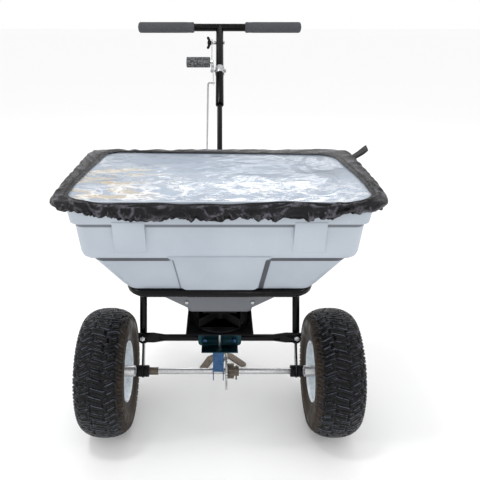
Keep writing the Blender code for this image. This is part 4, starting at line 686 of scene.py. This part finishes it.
def build_tyre(word, finish):
    """A turf tyre: a rounded section with zigzag tread blocks, and rings and a bead each side."""
    node = "tyre_" + word
    low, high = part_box(node)
    radius = (high.z - low.z) / 2
    half_width = (high.x - low.x) / 2 - SECTION_INSET
    rim_low, rim_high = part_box("rim_" + word)
    rim_radius = (rim_high.z - rim_low.z) / 2
    rim_half = (rim_high.x - rim_low.x) / 2
    widest = SECTION_MIDDLE * radius
    crown = radius - TREAD_DEPTH - widest
    tread = [-TREAD_EDGE + 2 * TREAD_EDGE * i / TREAD_ACROSS for i in range(TREAD_ACROSS + 1)]
    wall = [TREAD_EDGE + (WALL_END - TREAD_EDGE) * (i + 1) / WALL_STEPS for i in range(WALL_STEPS)]
    angles = [-a for a in wall[::-1]] + tread + wall

    def section(angle):
        side, up = sin(angle), cos(angle)
        x = half_width * (1 if side > 0 else -1) * abs(side) ** SECTION_SQUARE[0]
        out = widest + crown * (1 if up > 0 else -1) * abs(up) ** SECTION_SQUARE[1]
        return x, out

    bead = [(rim_half - inward, rim_radius + out) for inward, out in BEAD]
    rows, rises, bars = [], [], []
    steps = TREAD_PITCHES * STEPS_PER_PITCH
    for i in range(steps):
        turn = 2 * pi * i / steps
        pitch = i / STEPS_PER_PITCH
        points = [(-x, out) for x, out in bead[::-1]]
        heights = [0.0] * len(points)
        bar = [0.0] * len(points)
        for angle in angles:
            x, out = section(angle)
            across = angle / TREAD_EDGE
            if abs(across) <= 1:
                height, across_row = tread_height(pitch, across)
                x += TREAD_DEPTH * height * sin(angle)
                out += TREAD_DEPTH * height * cos(angle)
                heights.append(height)
                bar.append(across_row)
            else:
                heights.append(0.0)
                bar.append(0.0)
                rib = RIB_HEIGHT * smoothstep(*RIB_WIDTH, cos((abs(angle) - RIB_ANGLE) * RIB_RATE))
                x += rib * (1 if angle > 0 else -1)
            points.append((min(max(x, -half_width), half_width), out))
        points += bead
        rises.append(heights + [0.0] * len(bead))
        bars.append(bar + [0.0] * len(bead))
        rows.append([(x, out * sin(turn), -out * cos(turn)) for x, out in points])
    bm = bmesh.new()
    skin_with(bm, (("tread", rises), ("bar", bars)), rows, closed_across=True)
    tyre = new_piece("turf_tyre_" + word, bm, finish, node, middle_of(node))
    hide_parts(node)


# ---------------------------------------------------------------- rain cover
def loop_of(half_x, half_y, corner, middle_y):
    """Points round a rounded rectangle, with the way out at each: the same steps for any size."""
    straight_x, straight_y = half_x - corner, half_y - corner
    runs = [
        ((-straight_x, -half_y), (straight_x, -half_y), (0, -1), COVER_LONG_STEPS),
        ((half_x, -straight_y), (half_x, straight_y), (1, 0), COVER_SIDE_STEPS),
        ((straight_x, half_y), (-straight_x, half_y), (0, 1), COVER_LONG_STEPS),
        ((-half_x, straight_y), (-half_x, -straight_y), (-1, 0), COVER_SIDE_STEPS),
    ]
    corners = [
        (straight_x, -straight_y), (straight_x, straight_y), (-straight_x, straight_y),
        (-straight_x, -straight_y),
    ]
    points = []
    for (start, end, out, steps), corner_middle in zip(runs, corners):
        for i in range(steps):
            share = i / steps
            x = start[0] + (end[0] - start[0]) * share
            y = start[1] + (end[1] - start[1]) * share + middle_y
            points.append((Vector((x, y, 0)), Vector((*out, 0))))
        first = atan2(out[1], out[0])
        for i in range(COVER_CORNER_STEPS):
            turn = first + pi / 2 * i / COVER_CORNER_STEPS
            way = Vector((cos(turn), sin(turn), 0))
            place = Vector((corner_middle[0], corner_middle[1] + middle_y, 0)) + way * corner
            points.append((place, way))
    return points


def through(stations, share):
    """A smooth curve through the stations, each a tuple of numbers, at a share from 0 to 1."""
    place = share * (len(stations) - 1)
    i = min(int(place), len(stations) - 2)
    t = place - i
    before, first = stations[max(i - 1, 0)], stations[i]
    second, after = stations[i + 1], stations[min(i + 2, len(stations) - 1)]
    return [
        0.5 * (2 * b + (c - a) * t + (2 * a - 5 * b + 4 * c - d) * t * t
               + (3 * b - a - 3 * c + d) * t ** 3)
        for a, b, c, d in zip(before, first, second, after)
    ]


def crease(x, y, seed):
    """Sharp-crested folds: 1 on a crest, falling to 0 between crests."""
    return 1 - min(abs(noise.noise(Vector((x, y, seed)))) * 2.6, 1.0)


def cover_stations():
    """The cover's section from the window's seam, over the rim and down to the gathered hem.

    Each station is a rounded rectangle: its half width and length, its corner, middle and height.
    """
    rim_low, rim_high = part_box("hopper")
    film_low, film_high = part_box("cover_window")
    rim_x, rim_y = (rim_high.x - rim_low.x) / 2, (rim_high.y - rim_low.y) / 2
    film_x, film_y = (film_high.x - film_low.x) / 2, (film_high.y - film_low.y) / 2
    rim_middle = (rim_low.y + rim_high.y) / 2
    film_middle = (film_low.y + film_high.y) / 2
    rim, seam = rim_high.z, film_high.z
    inner = (film_x - SEAM_LAP, film_y - SEAM_LAP, FILM_CORNER, film_middle, seam + 0.0012)
    stitched = (film_x + 0.001, film_y + 0.001, FILM_CORNER + 0.002, film_middle, seam + 0.0032)
    edge = (rim_x + 0.002, rim_y + 0.002, COVER_CORNER + 0.002, rim_middle, rim + 0.0110)
    raised = (0, 0, 0, 0, 0.0015)
    half_way = tuple((a + b) / 2 + extra for a, b, extra in zip(stitched, edge, raised))
    over = [
        (rim_x + out, rim_y + out, COVER_CORNER + out, rim_middle, rim + rise)
        for out, rise in SKIRT_SECTION
    ]
    return [inner, stitched, half_way, edge, *over]


def front_stations():
    """The same section where the window is drawn down over the front of the rim."""
    rim_low, rim_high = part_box("hopper")
    film_low, film_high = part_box("cover_window")
    rim_x, rim_y = (rim_high.x - rim_low.x) / 2, (rim_high.y - rim_low.y) / 2
    film_x = (film_high.x - film_low.x) / 2
    middle = (rim_low.y + rim_high.y) / 2
    return [
        (wide, rim_y + out, corner, middle, rim_high.z - drop)
        for wide, out, corner, drop in (
            (film_x - 0.003, 0.0070, 0.022, 0.0005), (film_x + 0.004, 0.0095, 0.024, 0.0035),
            (rim_x + 0.001, 0.0115, 0.036, 0.0065), (rim_x + 0.006, 0.0130, 0.044, 0.0100),
            (rim_x + 0.0105, 0.0140, 0.050, 0.0135), (rim_x + 0.0125, 0.0143, 0.052, 0.0185),
            (rim_x + 0.0130, 0.0140, 0.052, 0.0215), (rim_x + 0.0110, 0.0120, 0.050, 0.0245),
            (rim_x + 0.0055, 0.0070, 0.046, 0.0275),
        )
    ]


def drawn_down(x, y):
    """How far the cover is drawn down over the front of the rim, from 0 to 1: y from its middle."""
    ends = 1 - DRAWN_LESS * smoothstep(*DRAWN_END, abs(x))
    return smoothstep(*DRAWN_SPAN, -y) * ends


def front_wave(x):
    """The slack of the front seam, up and down in metres."""
    return SLACK_HEIGHT * noise.noise(Vector((x * 15, 0.6, 2.2)))


def back_skew(x):
    """How much further back the window's back seam lies than its frame: more at the left."""
    return BACK_SKEW - BACK_SKEW_SLOPE * x


def drawn_in(y):
    """The share of its width that the window keeps toward the back: y from its middle."""
    return 1 - END_NARROWING * smoothstep(*NARROWING_SPAN, y)


def bulge(x, y):
    """How far the front corners stand out further, in metres: x and y from the cover's middle."""
    return (
        LEFT_BULGE * max(0.0, 1 - hypot(x + BULGE_X, y + BULGE_Y) / BULGE_REACH)
        + RIGHT_BULGE * max(0.0, 1 - hypot(x - BULGE_X, y + BULGE_Y) / BULGE_REACH)
    )


def folds_at(share, along):
    """Fine, broad and loose folds, each 1 on a crest: down the section and round the rim."""
    slant = along + FOLD_DRIFT * share * noise.noise(Vector((along * 9, 3.1, 0)))
    return (
        crease(slant / FINE_PLEAT, share * 1.6, 7.3),
        crease(slant / BROAD_FOLD, share * 1.9, 1.7),
        crease(slant / LOOSE_FOLD + share * 2.2, share * 2.5, 4.9),
    )


def cover_rows():
    """The border's rows of points, and how near each is to a crest, from 0 to 1."""
    stations, at_front = cover_stations(), front_stations()
    middle_y = stations[-1][3]
    round_rim = loop_of(*stations[RIM_STATION][:4])
    length = [0.0]
    for (a, _), (b, _) in zip(round_rim, round_rim[1:]):
        length.append(length[-1] + (b - a).length)
    rows, crests = [], []
    for row in range(COVER_ROWS + 1):
        share = row / COVER_ROWS
        *outline, height = through(stations, share)
        *front_outline, front_height = through(at_front, share)
        ahead = through(stations, min(share + LEAN_STEP, 1))
        behind = through(stations, max(share - LEAN_STEP, 0))
        lean = Vector((ahead[0] - behind[0], ahead[4] - behind[4])).normalized()
        skirt = smoothstep(*SKIRT_SPAN, share)
        top = smoothstep(*TOP_SPAN, share) * (1 - skirt)
        near_window = 1 - smoothstep(*SEAM_FADE, share)
        points, tops = [], []
        lying, drawn = loop_of(*outline), loop_of(*front_outline)
        for (place, out), (low_place, _), s in zip(lying, drawn, length):
            down = drawn_down(place.x, place.y - middle_y)
            place = place.lerp(low_place, down)
            from_middle = place.y - middle_y
            level = height + (front_height - height) * down
            level += front_wave(place.x) * down * (1 - smoothstep(*WAVE_FADE, share))
            ends = smoothstep(*CORNER_UP_FROM, abs(place.x))
            level += CORNER_UP * ends * smoothstep(*CORNER_UP_SPAN, share)
            front = smoothstep(*FACING, -out.y)
            back = smoothstep(*FACING, out.y)
            right = smoothstep(*RIGHT_SLACK, place.x)
            fine, broad, loose = folds_at(share, s)
            rise = BROAD_RISE * broad * (0.30 + 0.70 * front) * smoothstep(*BROAD_SPAN, share)
            rise += FINE_RISE * fine * smoothstep(*FINE_SPAN, share)
            rise += LOOSE_RISE_FRONT * loose * top * front * (0.45 + 0.9 * right)
            rise += LOOSE_RISE_BEHIND * loose * top * (1 - front)
            rise -= BACK_SINK * back * top
            corner_out = smoothstep(*CORNER_OUT_SPAN, share) * bulge(place.x, from_middle)
            ripple = noise.noise(Vector((s / HEM_RIPPLE_LENGTH, 8.0, 0)))
            hem = HEM_RIPPLE * ripple * smoothstep(*RIPPLE_SPAN, share)
            point = place + out * (-lean.y * rise + corner_out)
            at_back = smoothstep(*BACK_SPAN, from_middle)
            point.y += back_skew(place.x) * at_back * near_window
            point.x *= 1 - (1 - drawn_in(from_middle)) * near_window
            points.append((point.x, point.y, level + lean.x * rise + hem))
            crest = max(fine * skirt, broad, loose * (1 - skirt))
            tops.append(crest * smoothstep(*CREST_SPAN, share))
        rows.append(points)
        crests.append(tops)
    return rows, crests


def thicken(piece, thickness):
    """Gives an open sheet its thickness, with closed edges."""
    solid = piece.modifiers.new("thickness", "SOLIDIFY")
    solid.thickness = thickness
    solid.offset = 0


def hem_tube(bm, points):
    """The elastic along a ring of points, thicker and thinner where it gathers."""
    rings = []
    count = len(points)
    for i, point in enumerate(points):
        ahead = (Vector(points[(i + 1) % count]) - Vector(points[i - 1])).normalized()
        side = ahead.cross(Vector((0, 0, 1))).normalized()
        up = side.cross(ahead)
        swell = HEM_RADIUS * (1 + 0.35 * noise.noise(Vector((i * 0.9, 0.4, 0))))
        ring = []
        for j in range(HEM_SIDES):
            turn = 2 * pi * j / HEM_SIDES
            ring.append(Vector(point) + (side * cos(turn) + up * sin(turn)) * swell)
        rings.append(ring)
    skin(bm, rings, closed_across=True)


def stitch_line(bm, points):
    """Thread stitches, one every second step of a ring of points."""
    count = len(points)
    for i in range(0, count, 2):
        start, end = Vector(points[i]), Vector(points[(i + 1) % count])
        way = (end - start).normalized()
        side = way.cross(Vector((0, 0, 1))).normalized() * STITCH_WIDTH
        middle = (start + end) / 2 + Vector((0, 0, STITCH_RISE))
        half = way * STITCH_LENGTH / 2
        ring = [middle - half, middle + side, middle + half, middle - side]
        top = bm.verts.new(middle + Vector((0, 0, STITCH_WIDTH)))
        bottom = bm.verts.new(middle - Vector((0, 0, 2 * STITCH_WIDTH)))
        made = [bm.verts.new(place) for place in ring]
        for j in range(4):
            bm.faces.new((made[j], made[(j + 1) % 4], top))
            bm.faces.new((made[(j + 1) % 4], made[j], bottom))


def build_cover(cloth, tape, film):
    """The rain cover: gathered border, elastic hem, seam stitches, clear window and pull tab."""
    rows, crests = cover_rows()
    bm = bmesh.new()
    skin_with(bm, (("crest", crests),), rows)
    border = new_piece("gathered_border", bm, cloth, "cover_border")
    thicken(border, CLOTH_THICKNESS)
    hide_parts("cover_border")

    bm = bmesh.new()
    hem_tube(bm, rows[-1])
    hem = new_piece("elastic_hem", bm, tape, "cover_border")

    bm = bmesh.new()
    stitch_line(bm, rows[SEAM_ROW])
    stitches = new_piece("seam_stitches", bm, tape, "cover_border")

    window = build_window(film)
    tab = build_tab(tape)


def film_point(u, v, half, window_y, rim_y):
    """A point of the window, from its middle: u and v run from -1 to 1 across and back."""
    slack = (1 - u ** 4) * (1 - v ** 4)
    x, y = u * half.x, v * half.y
    sag = -FILM_SAG * slack * (0.7 + 0.5 * noise.noise(Vector((u * 2.1, v * 1.4, 2.0))))
    fold = crease(x * 9 + y * 3, y * 17 - x * 2, 5.5) - 0.5
    small = crease(x * 24 - y * 14, y * 42, 9.1) - 0.5
    ripple = slack ** 0.5 * (FILM_FOLD * fold + FILM_SMALL_FOLD * small)
    from_rim = y + window_y - rim_y
    down = drawn_down(x, from_rim)
    lip = smoothstep(*LIP_START, -from_rim)
    level = half.z - FILM_BELOW - (FILM_DROP + LIP_DROP * lip) * down + front_wave(x) * down * lip
    y += back_skew(x) * smoothstep(*BACK_SPAN, from_rim) - LIP_TUCK * lip * down
    return x * drawn_in(from_rim), y, level + sag + ripple


def build_window(film):
    """The clear window: slack in the middle, and drawn down over the front of the rim."""
    low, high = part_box("cover_window")
    middle, half = (low + high) / 2, (high - low) / 2
    across, deep = FILM_STEPS
    rim_y = middle_of("hopper").y
    bm = bmesh.new()
    rows = []
    for j in range(deep + 1):
        v = 2 * j / deep - 1
        rows.append([
            film_point(2 * i / across - 1, v, half, middle.y, rim_y) for i in range(across + 1)
        ])
    skin(bm, rows, closed_round=False)
    window = new_piece("clear_window", bm, film, "cover_window", middle)
    thicken(window, FILM_THICKNESS)
    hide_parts("cover_window")
    return window


def build_tab(tape):
    """A doubled strap end at the cover's rear corner, curling upward."""
    low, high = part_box("pull_tab")
    rows = []
    for i in range(TAB_STEPS + 1):
        share = i / TAB_STEPS
        x = low.x - TAB_TUCKED + (high.x - low.x + TAB_LONGER) * share
        z = low.z + TAB_LIFT + TAB_CURL * share ** 1.4
        twist = TAB_TWIST * share
        puff = TAB_HALF_THICKNESS * (0.5 + 0.5 * min(1.0, 6 * (1 - share)) * (1 + 0.5 * share))
        rows.append([
            (x, low.y, z - puff - twist * 0.2), (x, high.y, z - puff + twist),
            (x, high.y, z + puff + twist), (x, low.y, z + puff - twist * 0.2),
        ])
    bm = bmesh.new()
    made = skin(bm, rows)
    bm.faces.new(made[0])
    bm.faces.new(made[-1])
    tab = new_piece("strap_tab", bm, tape, "pull_tab")
    edge = tab.modifiers.new("edges", "BEVEL")
    edge.width = TAB_EDGE
    edge.segments = EDGE_SEGMENTS
    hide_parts("pull_tab")
    return tab


# ---------------------------------------------------------------- grips
def build_foam_grip(word, finish):
    """A foam sleeve on the T bar: a domed outer end, a soft inner lip and slight dents."""
    node = "grip_" + word
    low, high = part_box(node)
    centre = (low + high) / 2
    radius = (high.z - low.z) / 2
    bar_low, bar_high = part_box("t_bar")
    bar_radius = (bar_high.z - bar_low.z) / 2
    half = (high.x - low.x) / 2
    outward = 1 if centre.x > 0 else -1
    rows = []
    for i in range(GRIP_STEPS + 1):
        share = i / GRIP_STEPS
        x = -half + 2 * half * share
        from_inner, from_outer = x + half, half - x
        lip = min(1.0, (from_inner + 0.0004) / GRIP_LIP)
        dome = min(1.0, (from_outer + 0.00005) / GRIP_DOME)
        narrows = smoothstep(*GRIP_NECK_IN, from_inner)
        widens = smoothstep(*GRIP_NECK_OUT, from_inner)
        swell = 1 - GRIP_NECK * narrows * (1 - widens)
        out = radius * (1 - (1 - lip) ** 2.5 * (1 - (bar_radius + GRIP_OVER_BAR) / radius))
        out *= (1 - (1 - dome) ** 2.4) ** 0.5 * swell
        ring = []
        for j in range(GRIP_SIDES):
            turn = 2 * pi * j / GRIP_SIDES
            lump = noise.noise(Vector((x * 22, cos(turn) * 1.2, sin(turn) * 1.2)))
            dent = 1 - GRIP_DENT * max(0.0, lump)
            reach = max(out * dent, GRIP_TIP)
            ring.append((outward * x, reach * cos(turn), reach * sin(turn)))
        rows.append(ring)
    bm = bmesh.new()
    made = skin(bm, rows)
    bm.faces.new(made[-1])
    bm.faces.new(made[0])
    grip = new_piece("foam_" + node, bm, finish, node, centre)
    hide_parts(node)


# ---------------------------------------------------------------- assembly
def build_light_and_view():
    scene = bpy.context.scene
    scene.view_settings.view_transform = "Standard"
    camera = bpy.data.cameras.new("view")
    camera.lens = VIEW_LENS
    camera.shift_x = VIEW_SHIFT
    holder = bpy.data.objects.new("view", camera)
    holder.location = VIEW_PLACE
    holder.rotation_euler = (pi / 2 - VIEW_PITCH, 0, 0)
    scene.collection.objects.link(holder)
    scene.camera = holder
    world = bpy.data.worlds.new("studio")
    world.use_nodes = True
    sky = world.node_tree.nodes["Background"].inputs
    sky["Color"].default_value = (1, 1, 1, 1)
    sky["Strength"].default_value = SKY_STRENGTH
    scene.world = world
    for name, place, size, power in LAMPS:
        lamp = bpy.data.lights.new(name, "AREA")
        lamp.size = size
        lamp.energy = power
        light = bpy.data.objects.new(name, lamp)
        light.location = place
        light.rotation_euler = (LAMP_TARGET - light.location).to_track_quat("-Z", "Y").to_euler()
        scene.collection.objects.link(light)


def build_floor():
    bm = bmesh.new()
    bmesh.ops.create_grid(bm, x_segments=1, y_segments=1, size=FLOOR_SIZE)
    mesh = bpy.data.meshes.new("floor")
    bm.to_mesh(mesh)
    bm.free()
    mesh.materials.append(pale_floor())
    ground = bpy.data.objects.new("floor", mesh)
    bpy.context.scene.collection.objects.link(ground)


def main():
    finishes = {
        "hopper_plastic": hopper_plastic(),
        "black_gloss_paint": gloss_black(),
        "black_plastic": satin_black(),
        "zinc": plated("bright_zinc", (0.62, 0.63, 0.64), (0.36, 0.36, 0.37), 0.26, 0.30),
        "worn_steel": plated("dull_steel", (0.20, 0.17, 0.14), (0.085, 0.070, 0.060), 0.46, 0.6),
        "white_paint": rim_paint(),
        "blue_steel": plated(
            "blue_passivated", (0.060, 0.130, 0.260), (0.030, 0.065, 0.140), 0.34, 0.4
        ),
        "teal_steel": plated(
            "teal_passivated", (0.020, 0.060, 0.075), (0.012, 0.034, 0.042), 0.30, 0.4
        ),
        "grip_rubber": lever_rubber(),
    }
    cloth, tape, foam = nylon_cloth(), webbing(), grip_foam()
    for word, inward in (("left", 1), ("right", -1)):
        build_tyre(word, tyre_rubber(word, inward))
        build_foam_grip(word, foam)
    build_cover(cloth, tape, clear_film())
    for node in frame["nodes"]:
        if node not in MADE_HERE:
            rounded(node, finishes[slot_of(node)])
    build_floor()
    build_light_and_view()


main()
